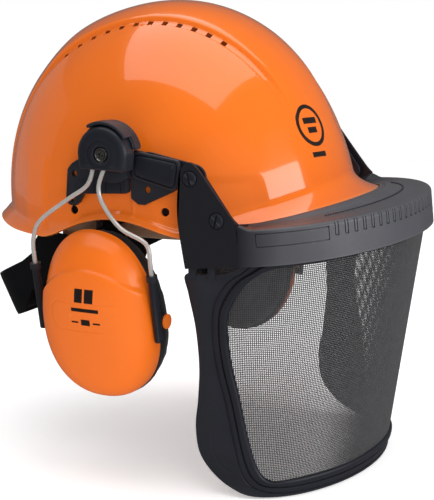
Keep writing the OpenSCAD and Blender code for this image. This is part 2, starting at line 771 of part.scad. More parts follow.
module cup_cushion(s) {
    x = -rim_out - 7.9 + plate_t;
    n = 10;
    w = 11.5;
    color([0.1, 0.1, 0.12]) on_side(s) lean_frame() ring_loft([for (i = [0:cup_around - 1])
        let (o = cup_loop(cup_half_w - 0.4, cup_half_h - 0.4, 0)[i],
            g = cup_loop(cup_half_w - 0.4 - 2 * w / 2, cup_half_h - 0.4 - 2 * w / 2, 0)[i],
            mid = (o + g) / 2, half = (o - g) / 2)
        [for (j = [0:n - 1]) let (b = 360 * j / n + 18)
            mid + half * spow(cos(b), 0.7) + [x + cushion_t / 2 * (1 + spow(sin(b), 0.7)), 0, 0]]]);
}

module cup_foam(s) {
    x = -rim_out - 8.3;
    color([0.25, 0.25, 0.27]) on_side(s) lean_frame() loft([
        cup_loop(cup_half_w - 8, cup_half_h - 8, x),
        cup_loop(cup_half_w - 8, cup_half_h - 8, x - 7)]);
}

shell();
headband();
sweatband();
crown_strap_low();
crown_strap_mid();
crown_strap_top();
crown_stitch_pad();
hanger_clips();
nape_band();
nape_pad();
nape_studs();
brow_guard();
guard_screws();
visor_frame();
visor_mesh();
frame_lugs();
visor_arm(-1);  // visor_arm_right
visor_arm(1);  // visor_arm_left
visor_clip(-1);  // visor_clip_right
visor_clip(1);  // visor_clip_left
clip_cover(-1);  // clip_cover_right
clip_cover(1);  // clip_cover_left
muff_bracket(-1);  // muff_bracket_right
muff_bracket(1);  // muff_bracket_left
click_disc(-1);  // click_disc_right
click_disc(1);  // click_disc_left
pivot_housing(-1);  // pivot_housing_right
pivot_housing(1);  // pivot_housing_left
pivot_screw(-1);  // pivot_screw_right
pivot_screw(1);  // pivot_screw_left
wire_front(-1);  // wire_front_right
wire_front(1);  // wire_front_left
wire_rear(-1);  // wire_rear_right
wire_rear(1);  // wire_rear_left
wire_bar(-1);  // wire_bar_right
wire_bar(1);  // wire_bar_left
sleeve_front(-1);  // sleeve_front_right
sleeve_front(1);  // sleeve_front_left
sleeve_rear(-1);  // sleeve_rear_right
sleeve_rear(1);  // sleeve_rear_left
cup_shell(-1);  // cup_shell_right
cup_shell(1);  // cup_shell_left
cup_plate(-1);  // cup_plate_right
cup_plate(1);  // cup_plate_left
cup_pins(-1);  // cup_pins_right
cup_pins(1);  // cup_pins_left
cup_cushion(-1);  // cup_cushion_right
cup_cushion(1);  // cup_cushion_left
cup_foam(-1);  // cup_foam_right
cup_foam(1);  // cup_foam_left
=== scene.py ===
import math

import bmesh
import bpy
import numpy as np
from mathutils import Matrix, Vector
from mathutils.bvhtree import BVHTree


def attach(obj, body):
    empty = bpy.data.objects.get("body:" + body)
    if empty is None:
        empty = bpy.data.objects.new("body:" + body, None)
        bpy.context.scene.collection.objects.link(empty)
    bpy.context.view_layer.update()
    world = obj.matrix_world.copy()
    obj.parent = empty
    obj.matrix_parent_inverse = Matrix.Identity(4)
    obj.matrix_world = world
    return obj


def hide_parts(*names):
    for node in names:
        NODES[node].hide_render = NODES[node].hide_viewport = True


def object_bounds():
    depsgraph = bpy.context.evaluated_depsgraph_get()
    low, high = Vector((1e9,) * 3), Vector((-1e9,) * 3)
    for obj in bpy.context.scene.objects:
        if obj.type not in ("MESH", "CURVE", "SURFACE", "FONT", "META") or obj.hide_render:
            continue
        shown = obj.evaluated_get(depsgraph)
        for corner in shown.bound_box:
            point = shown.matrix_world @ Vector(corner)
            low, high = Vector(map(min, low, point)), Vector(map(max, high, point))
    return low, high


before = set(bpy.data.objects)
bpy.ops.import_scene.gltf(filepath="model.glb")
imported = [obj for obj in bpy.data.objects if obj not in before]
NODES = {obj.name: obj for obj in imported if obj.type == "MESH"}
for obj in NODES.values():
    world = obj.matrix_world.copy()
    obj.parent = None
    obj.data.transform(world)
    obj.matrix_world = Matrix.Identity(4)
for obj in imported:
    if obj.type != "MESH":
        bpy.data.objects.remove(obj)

CAD_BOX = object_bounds()
MM = 0.001
SIDES = (("right", 1), ("left", -1))  # the wearer's right is -X; shapes are drawn there and mirrored


# ---------------------------------------------------------------- materials
def add_node(tree, kind, inputs, **settings):
    """A shader node with its settings and inputs; an input is a value, or another node's output to link."""
    node = tree.nodes.new("ShaderNode" + kind)
    for key, value in settings.items():
        setattr(node, key, value)
    for key, value in inputs.items():
        if isinstance(value, bpy.types.NodeSocket):
            tree.links.new(value, node.inputs[key])
        else:
            node.inputs[key].default_value = value
    return node


def node_material(name, colour, dark, rough, rough_swing=0.06, metal=0.0, coat=0.0, coat_rough=0.1,
                  spot=300.0, mottle=45.0, bump=0.05, bump_scale=1500.0, bump_depth=0.00006, sheen=0.0,
                  specular=0.5, wear=None, wear_amount=0.0):
    """Principled material: mottled colour, uneven roughness, a fine surface grain and optional worn edges."""
    m = bpy.data.materials.new(name)
    m.use_nodes = True
    nt = m.node_tree
    bsdf, link = nt.nodes["Principled BSDF"], nt.links.new
    for key, value in (("Metallic", metal), ("Coat Weight", coat), ("Coat Roughness", coat_rough),
                       ("Sheen Weight", sheen), ("Specular IOR Level", specular)):
        bsdf.inputs[key].default_value = value
    where = add_node(nt, "TexCoord", {}).outputs["Object"]
    cloud = add_node(nt, "TexNoise", {"Scale": mottle, "Detail": 4.0, "Vector": where})
    shade = add_node(nt, "Mix", {"A": (*dark, 1), "B": (*colour, 1), "Factor": cloud.outputs["Fac"]},
                     data_type="RGBA").outputs["Result"]
    if wear:
        edge = add_node(nt, "NewGeometry", {}).outputs["Pointiness"]
        ramp = add_node(nt, "MapRange", {"From Min": 0.51, "From Max": 0.62, "To Max": wear_amount, "Value": edge})
        shade = add_node(nt, "Mix", {"A": shade, "B": (*wear, 1), "Factor": ramp.outputs["Result"]},
                         data_type="RGBA").outputs["Result"]
    link(shade, bsdf.inputs["Base Color"])
    patch = add_node(nt, "TexNoise", {"Scale": spot, "Detail": 3.0, "Vector": where})
    gloss = add_node(nt, "MapRange", {"To Min": max(0.02, rough - rough_swing), "To Max": rough + rough_swing,
                                      "Value": patch.outputs["Fac"]})
    link(gloss.outputs["Result"], bsdf.inputs["Roughness"])
    grain = add_node(nt, "TexNoise", {"Scale": bump_scale, "Detail": 2.0, "Vector": where})
    dent = add_node(nt, "Bump", {"Strength": bump, "Distance": bump_depth, "Height": grain.outputs["Fac"]})
    link(dent.outputs["Normal"], bsdf.inputs["Normal"])
    return m


def woven_material(name, thread, gap, pitch):
    """Webbing: two crossed bands of threads, pitch mm apart, that colour the cloth and raise it."""
    m = node_material(name, thread, gap, 0.75, sheen=0.35, bump=0.7, bump_depth=0.0004)
    nt = m.node_tree
    where = nt.nodes["Texture Coordinate"].outputs["Object"]
    scale = math.pi / (10 * pitch * MM)
    warp, weft = (add_node(nt, "TexWave", {"Scale": scale, "Distortion": 0.6, "Vector": where},
                           bands_direction=axis).outputs["Fac"] for axis in "XY")
    cross = add_node(nt, "Math", {0: warp, 1: weft}, operation="MULTIPLY").outputs[0]
    nt.links.new(cross, nt.nodes["Mix"].inputs["Factor"])
    nt.links.new(cross, nt.nodes["Bump"].inputs["Height"])
    return m


def paint_shade_behind(material, colour, y0, y1):
    """Painted shade: blends a material to a darker colour from y0 back to y1, in the object's own coordinates."""
    nt = material.node_tree
    base = nt.nodes["Principled BSDF"].inputs["Base Color"]
    split = add_node(nt, "SeparateXYZ", {"Vector": nt.nodes["Texture Coordinate"].outputs["Object"]})
    ramp = add_node(nt, "MapRange", {"From Min": y0, "From Max": y1, "Value": split.outputs["Y"]})
    blend = add_node(nt, "Mix", {"A": base.links[0].from_socket, "B": (*colour, 1), "Factor": ramp.outputs["Result"]},
                     data_type="RGBA")
    nt.links.new(blend.outputs["Result"], base)


WORN_ORANGE = (0.93, 0.36, 0.10)
SHELL = node_material("shell_orange", (0.83, 0.168, 0.012), (0.80, 0.150, 0.010), 0.2, 0.04, coat=0.95,
                      coat_rough=0.045, specular=0.2, mottle=14, spot=90, bump=0.05, bump_scale=420,
                      bump_depth=0.0001, wear=WORN_ORANGE, wear_amount=0.35)
CUP = node_material("cup_orange", (0.84, 0.165, 0.010), (0.80, 0.148, 0.009), 0.3, 0.05, coat=0.15,
                    coat_rough=0.2, specular=0.3, mottle=20, spot=120, bump=0.10, bump_scale=900,
                    bump_depth=0.0001, wear=WORN_ORANGE, wear_amount=0.4)
BLACK = node_material("black_plastic", (0.0125, 0.0137, 0.0205), (0.008, 0.0088, 0.0135), 0.40, 0.08, specular=0.34,
                      bump=0.22, bump_scale=1800, bump_depth=0.0001, wear=(0.05, 0.052, 0.062), wear_amount=0.5)
STRAP = node_material("soft_black", (0.0045, 0.0052, 0.0065), (0.0025, 0.003, 0.004), 0.55, 0.08, specular=0.15,
                      mottle=80, bump=0.3, bump_scale=1200, bump_depth=0.0002)
GUARD = node_material("guard_plastic", (0.072, 0.0735, 0.084), (0.054, 0.055, 0.063), 0.44, 0.07, specular=0.45,
                      bump=0.35, bump_scale=1500, bump_depth=0.00012, wear=(0.11, 0.112, 0.122), wear_amount=0.5)
# painted shade: the guard's colour darkens towards its ears at the back, standing in for the shade that falls on them
paint_shade_behind(GUARD, (0.009, 0.0095, 0.014), -0.100, -0.072)
WIRE = node_material("drawn_wire", (0.80, 0.775, 0.74), (0.66, 0.64, 0.61), 0.3, 0.07, metal=0.6,
                     mottle=120, bump=0.12, bump_scale=2600)
GAUZE = node_material("gauze_wire", (0.16, 0.16, 0.165), (0.10, 0.10, 0.105), 0.36, 0.08, metal=0.5, mottle=200)
SCREW = node_material("screw_steel", (0.30, 0.29, 0.27), (0.17, 0.165, 0.155), 0.34, 0.1, metal=1.0, mottle=600,
                      bump=0.2, bump_scale=3000)
LEATHER = node_material("tan_leather", (0.46, 0.285, 0.175), (0.34, 0.20, 0.115), 0.62, 0.09, mottle=90, sheen=0.15,
                        bump=0.5, bump_scale=1400, bump_depth=0.0003)
SKIN = node_material("cushion_skin", (0.012, 0.012, 0.014), (0.007, 0.007, 0.009), 0.5, 0.08, mottle=60,
                     bump=0.35, bump_scale=1300, bump_depth=0.0003, sheen=0.1)
FOAM = node_material("foam", (0.09, 0.09, 0.098), (0.03, 0.03, 0.034), 0.92, 0.05, mottle=500, bump=0.9,
                     bump_scale=1100, bump_depth=0.0012)
WEBBING = woven_material("webbing", (0.030, 0.031, 0.036), (0.010, 0.010, 0.012), 1.1)
PRINT = node_material("dark_print", (0.012, 0.005, 0.003), (0.008, 0.004, 0.003), 0.34, 0.05, coat=0.3)


# ---------------------------------------------------------------- mesh tools
def ease(k):
    k = np.clip(k, 0, 1)
    return k * k * (3 - 2 * k)


def lerp(a, b, k):
    return a + (b - a) * k


def spow(v, p):
    return np.sign(v) * np.abs(v) ** p


def unit(v):
    return v / np.maximum(np.linalg.norm(v, axis=-1, keepdims=True), 1e-9)


def smooth_path(keys, steps):
    """Catmull-Rom curve through the keys."""
    keys = np.asarray(keys, float)
    out = []
    last = len(keys) - 1
    for i in range(last):
        a, b, c, d = keys[max(i - 1, 0)], keys[i], keys[i + 1], keys[min(i + 2, last)]
        for k in np.arange(steps) / steps:
            out.append(0.5 * (2 * b + (c - a) * k + (2 * a - 5 * b + 4 * c - d) * k * k
                              + (3 * b - a - 3 * c + d) * k ** 3))
    return np.array(out + [keys[last]])


def grid_faces(rows, cols, around=True, along=False):
    """Quads over rows x cols points; around closes each row, along joins the last row to the first."""
    i, j = np.meshgrid(np.arange(rows if along else rows - 1), np.arange(cols if around else cols - 1),
                       indexing="ij")
    i2, j2 = (i + 1) % rows, (j + 1) % cols
    return np.stack([i * cols + j, i * cols + j2, i2 * cols + j2, i2 * cols + j], -1).reshape(-1, 4).tolist()


def tube(rings, along=False):
    """Closed solid through rings of equal count: capped at both ends, or joined end to end."""
    rings = np.array(rings, float)
    rows, cols = rings.shape[:2]
    faces = grid_faces(rows, cols, along=along)
    if not along:
        faces += [list(range(cols))[::-1], [(rows - 1) * cols + j for j in range(cols)]]
    return rings.reshape(-1, 3), faces


def tipped(p, angle, at):
    """Points turned about X by an angle, then moved."""
    c, s = math.cos(angle), math.sin(angle)
    p = np.asarray(p, float)
    return np.stack([p[..., 0], p[..., 1] * c + p[..., 2] * s, -p[..., 1] * s + p[..., 2] * c], -1) + at


def run_along(path):
    """Distance along a path at each of its points."""
    return np.concatenate([[0], np.cumsum(np.linalg.norm(np.diff(path, axis=0), axis=1))])


def bowl(rings, top, under):
    """Double-walled bowl: rings from the inner crown over the rim to the outer crown, and the two crown points."""
    rows, cols = rings.shape[:2]
    crown, base = rows * cols, (rows - 1) * cols
    faces = grid_faces(rows, cols)
    faces += [[base + j, base + (j + 1) % cols, crown] for j in range(cols)]
    faces += [[(j + 1) % cols, j, crown + 1] for j in range(cols)]
    return np.concatenate([rings.reshape(-1, 3), [top], [under]]), faces


def raw_object(name, points, faces, material):
    me = bpy.data.meshes.new(name)
    me.from_pydata((np.asarray(points, float).reshape(-1, 3) * MM).tolist(), [], faces)
    me.shade_smooth()
    me.materials.append(material)
    o = bpy.data.objects.new(name, me)
    bpy.context.scene.collection.objects.link(o)
    return o


def build(name, points, faces, material, sharp=38):
    """A closed mesh object from points in millimetres, with its faces turned outward."""
    o = raw_object(name, points, faces, material)
    bm = bmesh.new()
    bm.from_mesh(o.data)
    bmesh.ops.recalc_face_normals(bm, faces=bm.faces)
    bm.to_mesh(o.data)
    bm.free()
    o.data.set_sharp_from_angle(angle=math.radians(sharp))
    return o


def settle(o, sharp):
    """Applies an object's modifiers to its mesh."""
    bpy.context.view_layer.update()
    done = bpy.data.meshes.new_from_object(o.evaluated_get(bpy.context.evaluated_depsgraph_get()))
    o.modifiers.clear()
    o.data = done
    done.shade_smooth()
    done.set_sharp_from_angle(angle=math.radians(sharp))


def cut(o, points, faces, sharp):
    """Cuts closed solids, given in millimetres, out of an object."""
    tool = build("cutter", points, faces, BLACK)
    m = o.modifiers.new("cut", "BOOLEAN")
    m.operation = "DIFFERENCE"
    m.solver = "MANIFOLD"
    m.object = tool
    settle(o, sharp)
    bpy.data.objects.remove(tool)


def prober(o):
    """Makes a function that casts a ray at an object: from a point in mm, it gives the point hit and its normal."""
    tree = BVHTree.FromObject(o, bpy.context.evaluated_depsgraph_get())

    def hit(start, way):
        at, normal = tree.ray_cast(Vector(start * MM), Vector(way))[:2]
        return (np.array(at) / MM, np.array(normal)) if at else (None, None)

    return hit


def place(o, body, slot, *replaced):
    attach(o, body)
    if replaced:
        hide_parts(*replaced)
    return o


def flip(points, side):
    """The points as they are on the right, or mirrored for the left."""
    p = np.array(points, float).reshape(-1, 3)
    p[:, 0] *= side
    return p


def side_piece(name, side_name, side, solid, material, body, slot, replaced=None, holes=(), sharp=32):
    """A piece drawn on the right side and mirrored for the left, with its holes cut one at a time."""
    o = build(f"{name}_{side_name}", flip(solid[0], side), solid[1], material, sharp)
    for points, faces in holes:
        cut(o, flip(points, side), faces, sharp)
    return place(o, body, slot, *([replaced] if replaced else []))


def dress(node, material, width=0.35):
    """Material, welded seams and edges softened by width mm, for a CAD node that keeps its shape."""
    o = NODES[node]
    o.data.materials.clear()
    o.data.materials.append(material)
    o.data.polygons.foreach_set("use_smooth", [True] * len(o.data.polygons))
    w = o.modifiers.new("weld", "WELD")
    w.merge_threshold = 0.00001
    if width:
        m = o.modifiers.new("edges", "BEVEL")
        m.width = width * MM
        m.segments = 2
        m.limit_method = "ANGLE"
        m.angle_limit = math.radians(40)
        m.harden_normals = True
    n = o.modifiers.new("normals", "WEIGHTED_NORMAL")
    n.keep_sharp = True


def round_corners(points, radius, steps=6):
    """Closed outline with its corners rounded; radius may be one number or one per corner."""
    pts = np.array(points, float)
    out = []
    for i, p in enumerate(pts):
        a, b = pts[i - 1] - p, pts[(i + 1) % len(pts)] - p
        la, lb = np.linalg.norm(a), np.linalg.norm(b)
        half = 0.5 * math.acos(np.clip(a @ b / (la * lb), -1, 1))
        r = radius if np.isscalar(radius) else radius[i]
        reach = min(r / math.tan(half), 0.46 * la, 0.46 * lb)
        a, b = p + a / la * reach, p + b / lb * reach
        out += [(1 - k) ** 2 * a + 2 * k * (1 - k) * p + k * k * b for k in np.linspace(0, 1, steps)]
    return np.array(out)


def inset_corners(points, d):
    """A polygon's corners moved inward so that each edge moves by d."""
    pts = np.array(points, float)
    nxt, prev = np.roll(pts, -1, 0), np.roll(pts, 1, 0)
    turn = np.sign(np.sum(pts[:, 0] * nxt[:, 1] - pts[:, 1] * nxt[:, 0]))
    ta, tb = unit(pts - prev), unit(nxt - pts)
    na, nb = (np.stack([-t[:, 1], t[:, 0]], 1) * turn for t in (ta, tb))
    return pts + (na + nb) * d / (1 + np.sum(na * nb, 1, keepdims=True))


def plate_outline(corners, radius):
    """Outline of a plate as a function of its inset."""
    return lambda d: round_corners(inset_corners(corners, d), max(radius - d, 0.3))


def slab(outline, profile):
    """Closed solid on the right side: profile lists the inset of the (y, z) outline and x, back to front."""
    return tube([[(-x, y, z) for y, z in outline(d)] for d, x in profile])


def lathe(y, z, profile, sides=48):
    """Closed solid of revolution about an axis along X on the right side: profile lists radius and x."""
    ring = [(math.cos(t), math.sin(t)) for t in np.arange(sides) * 2 * math.pi / sides]
    return tube([[(-x, y + r * c, z + r * s) for c, s in ring] for r, x in profile])


def arc_band(y, z, a0, a1, r0, r1, x0, x1, edge=0.5, steps=30):
    """Closed curved bar about an axis along X, between two angles, radii and depths, with eased edges."""
    ring = [(r0 + edge, x0), (r1 - edge, x0), (r1, x0 + edge), (r1, x1 - edge), (r1 - edge, x1), (r0 + edge, x1),
            (r0, x1 - edge), (r0, x0 + edge)]
    mid_r, mid_x = (r0 + r1) / 2, (x0 + x1) / 2
    turns = np.radians(np.concatenate([[a0], np.linspace(a0 + 1.2, a1 - 1.2, steps), [a1]]))
    rings = []
    for n, t in enumerate(turns):
        pinch = 0.3 if n in (0, len(turns) - 1) else 0.0
        rings.append([[-lerp(x, mid_x, pinch * 0.2), y + lerp(r, mid_r, pinch) * math.cos(t),
                       z + lerp(r, mid_r, pinch) * math.sin(t)] for r, x in ring])
    return tube(rings)


def box_solid(centre, size, turn=0.0):
    """Closed box on the right side, size along x, y and z, turned about X."""
    c, s = math.cos(math.radians(turn)), math.sin(math.radians(turn))
    x0, y0, z0 = centre
    hx, hy, hz = np.array(size) / 2
    return tube([[(-(x0 + x), y0 + y * c - z * s, z0 + y * s + z * c)
                  for y, z in ((-hy, -hz), (hy, -hz), (hy, hz), (-hy, hz))] for x in (-hx, hx)])


def prism(centre, across, along, out, half_a, half_b, depth, chamfer):
    """Eight-sided closed prism about a centre, for vents and slots."""
    a, b, c = half_a, half_b, chamfer
    ring = [(a, b - c), (a - c, b), (c - a, b), (-a, b - c), (-a, c - b), (c - a, -b), (a - c, -b), (a, c - b)]
    return tube([[centre + across * u + along * v + out * d for u, v in ring] for d in (-depth, depth)])


def join_solids(solids):
    pts, faces = [], []
    for p, f in solids:
        faces += [[v + len(pts) for v in face] for face in f]
        pts += list(p)
    return pts, faces


# ---------------------------------------------------------------- helmet shell
PITCH = math.radians(15.2)
DOME_CENTRE = np.array([0.0, 24.7, -4.9])
SHELL_T = 3.0
VENT_YS = -24.3 + 10.5 * np.arange(12)
FRONT_HOLE, REAR_HOLE, SIDE_HOLE_R = (-13.6, 12.6), (54.1, 9.4), 2.9


def rim_z(y):
    level = np.where(y < -27, -4 + 0.245 * (-27 - y),
                     lerp(-4, -11.5, ease((y + 27) / 100)) + 3 * ease((y - 105) / 40))
    return level + 13.4 * np.maximum(0, 1 - ((y - 28) / 52) ** 2) ** 1.6


def ridge_half(y):
    return 35.8 + 0.13 * (y + 24)


def shell_relief(p):
    """How far the outer face stands out from the plain dome: crown ridge, vent channels, side panels and rim bead."""
    x, y, z = np.abs(p[..., 0]), p[..., 1], p[..., 2]
    over = x - ridge_half(y)
    ridge = 1.8 * ease(0.5 - (over + 2.6) / 2.4) * ease((y + 88) / 36) * ease((122 - y) / 30)
    channel = -1.5 * ease((over + 2.4) / 1.3) * ease((4.8 - over) / 1.4) * ease((y + 76) / 34)
    channel = channel * np.where(z > 8, 1, ease(z / 8))
    above = z - rim_z(y)
    flank = ease((x - 58) / 6)
    panel = -1.1 * ease((y + 77) / 2.2) * ease((52 - y) / 3) * ease((above - 4.5) / 2.5) * ease((38 - z) / 8) \
        * ease((x - 66) / 8)
    rib = 0.7 * ease((1.6 - np.abs(y - 9)) / 1.2) * ease((above - 3) / 2) * ease((34 - z) / 3) * flank
    step = 0.9 * ease((y - 80) / 2.5) * ease((114 - y) / 14) * ease((46 - z) / 16) * ease((above - 3) / 3) * flank
    bead = 0.8 * ease((5 - above) / 1.4) * ease((y + 66) / 16)
    return ridge * np.where(over < 60, 1, 0) + channel + panel + rib + step + bead


def dome(a, u, inset=0.0, relief=True):
    """Points of the shell: a is the angle round it, u runs from the rim at 0 to the crown at 1."""
    c, s = np.cos(a), np.sin(a)
    power = 2 / np.where(s < 0, 2.2, 2.02)
    w, h = 106.8 - inset, 146.4 - inset
    length = np.where(s < 0, 122.0, 129.6) - inset
    px, py = w * spow(c, power), length * spow(s, power)
    cp, sp = math.cos(PITCH), math.sin(PITCH)
    rim = (rim_z(DOME_CENTRE[1] + py * cp) - DOME_CENTRE[2] + py * sp) / cp
    z = rim + (h - rim) * np.sin(math.pi / 2 * u) ** 0.94
    r = np.where(z <= 0, 1, np.maximum(0, 1 - (np.maximum(z, 0) / h) ** 2.123) ** 0.4615)
    flare = 2.2 + 15 * np.maximum(0, -s) ** 3.6 + 7 * np.maximum(0, s) ** 2
    lip = flare * np.maximum(0, 1 - (z - rim) / (10 + 6 * np.maximum(0, -s) ** 2)) ** 2
    x, y = px * r, py * r
    x = np.sign(x) * np.minimum(np.abs(x), 103.6 - inset) + lip * c
    y = y + lip * s
    p = tipped(np.stack([x, y, z], -1), PITCH, DOME_CENTRE)
    if relief:
        raised = shell_relief(p)
    else:
        raised = 1.8 * ease(0.5 - (np.abs(p[..., 0]) - ridge_half(p[..., 1])) / 4) \
            * ease((p[..., 1] + 88) / 36) * ease((122 - p[..., 1]) / 30)
    return p + unit(p - DOME_CENTRE) * raised[..., None]


def even_angles(count):
    """Angles round the rim with an even spacing along it."""
    fine = np.linspace(0, 2 * math.pi, 7201)
    loop = dome(fine, np.zeros_like(fine) + 0.25, relief=False)
    run = run_along(loop)
    return np.interp(np.arange(count) / count * run[-1], run, fine)


def make_shell():
    angles = even_angles(640)
    outer = dome(angles[None, :], (np.linspace(0, 1, 176, endpoint=False) ** 1.08)[:, None])
    inner = dome(angles[None, :], np.linspace(0, 1, 56, endpoint=False)[:, None], SHELL_T, relief=False)
    fold = (outer[0] + inner[0]) / 2 - np.array([0, 0, 0.7])
    crown = np.array([0.5]), np.array([1.0])
    shell = build("helmet_shell", *bowl(np.concatenate([inner[::-1], [fold], outer]), dome(*crown, relief=False)[0],
                                        dome(*crown, SHELL_T, relief=False)[0]), SHELL)
    hit = prober(shell)
    solids = []
    for s in (-1, 1):
        for y in VENT_YS:
            at = hit(np.array([s * (ridge_half(y) + 0.6), y, 200.0]), (0, 0, -1))[0]
            out = unit(at - (DOME_CENTRE - np.array([0, 0, 30])))
            across = unit(np.cross(out, [0, 1, 0]))
            solids.append(prism(at, across, np.cross(out, across), out, 2.3, 2.0, 7, 0.5))
        for y, z in (REAR_HOLE, FRONT_HOLE):
            p, f = lathe(y, z, [(SIDE_HOLE_R, 92), (SIDE_HOLE_R, 118)], 40)
            solids.append((flip(p, -s), f))
    cut(shell, *join_solids(solids), sharp=34)
    return place(shell, "helmet", "shell_gloss", "shell")


# ---------------------------------------------------------------- brow guard
GUARD_W, GUARD_L, GUARD_WALL, GUARD_T = 113.25, 78.0, 23.5, 2.6
GUARD_AT = np.array([0.0, -71.5, 7.6])
GUARD_PITCH = math.radians(5.5)
GUARD_SCREWS = ((-38.65, 38.2), (-57.65, 12.6))


def from_guard(p):
    """Guard coordinates to the helmet's."""
    return tipped(p, GUARD_PITCH, GUARD_AT)


def guard_edge(a, inward):
    """Plan curve of the wall in guard coordinates, a from 0 at the right ear to pi at the left."""
    return np.stack([-(GUARD_W - inward) * np.cos(a), -(GUARD_L - inward) * np.sin(a)], -1)


def guard_lip(a):
    t = math.pi + lerp(math.radians(44), math.radians(136), a / math.pi)
    e = dome(t, np.zeros_like(t), relief=False)
    off = e + np.array([0, 10.0, 0])
    off[..., 2] = 0
    return tipped(e + 0.9 * unit(off) + np.array([0, 0, 0.4]) - GUARD_AT, -GUARD_PITCH, 0)


def wall_solid(a0, a1, z0, z1, d0, d1, steps=6):
    """Closed curved box in the guard's wall: between two angles, two heights and two depths."""
    a = np.linspace(a0, a1, steps)
    rings = []
    for d, z in ((d0, z0), (d1, z0), (d1, z1), (d0, z1)):
        e = guard_edge(a, d)
        rings.append(from_guard(np.concatenate([e, np.full((steps, 1), z)], 1)))
    return tube(np.stack(rings, 1))


EAR_TOP = smooth_path([[-35.4, 47.8], [-38.2, 48.6], [-41.4, 47.4], [-45.6, 43.2], [-51, 36.3], [-57.5, 28.1],
                       [-64, 20.0], [-68.5, 14.6], [-72.5, 11.0]], 6)
EAR_BOTTOM = lerp(np.array([-34.6, -20.6]), np.array([-73.75, -15.8]), np.linspace(0, 1, len(EAR_TOP))[:, None])
EAR_REAR = smooth_path([[-34.6, -20.6], [-31, 0], [-29.4, 14], [-29.8, 29], [-31.8, 42.6], [-35.4, 47.8]], 6)
WALL_ROWS, TOP_STEPS, LIP_STEPS = len(EAR_REAR), 22, 3


def guard_section(a):
    """Closed section of the guard at plan angle a: wall, rounded corner, top, lip and inside."""
    round_r = 2.2
    lift = 3.2 * (1 - ease(math.degrees(min(a, math.pi - a)) / 7.0))
    wall = [(0.0, z) for z in np.linspace(-GUARD_WALL, -round_r + lift, WALL_ROWS - 6)]
    wall += [(round_r * (1 - math.cos(b)), -round_r + lift + round_r * math.sin(b))
             for b in np.linspace(0, math.pi / 2, 6)]
    outer = [np.array([*guard_edge(a, o), z]) for o, z in wall]
    lip = guard_lip(np.array([a]))[0]
    plane = []
    for k in np.arange(1, TOP_STEPS + 1) / TOP_STEPS:
        p = lerp(outer[-1], lip, k)
        # shallow dish, then two low steps beside the shell
        p[2] -= 1.1 * math.sin(math.pi * min(1, k * 1.15)) ** 2 - 1.0 * ease((k - 0.70) / 0.05) \
            + 0.9 * ease((k - 0.86) / 0.05)
        plane.append(p)
    inner_top = np.array([*guard_edge(a, GUARD_T), -GUARD_T - 1.4])
    back = [lerp(lip - np.array([0, 0, 2.2]), inner_top, i / LIP_STEPS) for i in range(LIP_STEPS)]
    inner = [np.array([*guard_edge(a, GUARD_T), z]) for z in np.linspace(-GUARD_T - 1.4, -GUARD_WALL, 6)]
    return from_guard(np.array(outer + plane + back + inner))


def ear_sections():
    """Sections of the right ear from its rear edge forward, with as many points as a section of the wall."""
    t = np.linspace(0, 1, WALL_ROWS)
    bulge = EAR_REAR - lerp(EAR_REAR[0], EAR_REAR[-1], t[:, None])
    inward = np.array([GUARD_T - 0.2, 0, 0])
    sections = []
    for i in range(len(EAR_TOP) - 1):
        line = lerp(EAR_BOTTOM[i], EAR_TOP[i], t[:, None]) + bulge * (1 - i / (len(EAR_TOP) - 1)) ** 1.6
        col = np.concatenate([np.full((WALL_ROWS, 1), -GUARD_W), line], 1)
        top = lerp(col[-1], col[-1] + inward, np.linspace(0.15, 1, TOP_STEPS + LIP_STEPS)[:, None])
        inner = lerp(col[-1] + inward, col[0] + inward, np.linspace(0, 1, 6)[:, None])
        sections.append(np.concatenate([col, top, inner]))
    return np.array(sections)


def guard_grooves(mirrored):
    """Cutters for one side of the wall: the outline of its raised panel, and its grip slots."""
    def groove(a0, a1, z0, z1, depth, steps=3):
        a0, a1 = math.radians(a0), math.radians(a1)
        span = (math.pi - a1, math.pi - a0) if mirrored else (a0, a1)
        return wall_solid(*span, z0, z1, -0.5, depth, steps)

    solids = [groove(9, 41, z, z + 0.8, 0.8, 24) for z in (-3.2, -11.4)]
    solids += [groove(a, a + 0.4, -11.1, -2.7, 0.8) for a in (9, 40.75)]
    run = 43.5
    while run < 89.5:
        e = guard_edge(np.radians([run, run + 1]), 0)
        step = 1 / np.linalg.norm(e[1] - e[0])
        solids += [groove(run, run + 0.75 * step, -8.7, 0.4, 1.0),
                   groove(run + 2.25 * step, run + 3.0 * step, -8.7, 0.4, 1.0),
                   groove(run, run + 3.0 * step, -9.4, -8.6, 1.0)]
        run += 7.4 * step
    return solids


def make_guard():
    band = np.radians(np.concatenate([[0.0], np.linspace(0.8, 179.2, 221), [180.0]]))
    right = ear_sections()
    rings = np.concatenate([right, [guard_section(a) for a in band], right[::-1] * np.array([-1, 1, 1])])
    n, m = rings.shape[:2]
    # the ears' rear edges are curved, so the order of the corners decides how these two faces are filled
    caps = [list(range(m)), list(range((n - 1) * m, n * m))[::-1]]
    guard = build("brow_guard_moulding", rings.reshape(-1, 3), grid_faces(n, m) + caps, GUARD, 30)
    solids = guard_grooves(False) + guard_grooves(True)
    for y, z in GUARD_SCREWS:
        for side in (1, -1):
            p, f = lathe(y, z, [(5.4, 112.55), (5.4, 116)], 40)
            solids.append((flip(p, side), f))
    cut(guard, *join_solids(solids), sharp=30)
    place(guard, "visor", "guard_plastic", "brow_guard")
    # a row of low pips on the top face
    up, across = np.array([0, -math.sin(GUARD_PITCH), math.cos(GUARD_PITCH)]), np.array([1.0, 0, 0])
    solids = []
    for a in np.radians(np.linspace(44, 150, 74)):
        edge = np.array([*guard_edge(a, 2.2), 0.0])
        at = from_guard(lerp(edge, guard_lip(np.array([a]))[0], 0.52) - np.array([0, 0, 0.7]))
        solids.append(prism(at, across, np.cross(up, across), up, 0.5, 0.5, 0.35, 0.2))
    place(build("guard_pips", *join_solids(solids), BLACK), "visor", "black_plastic")


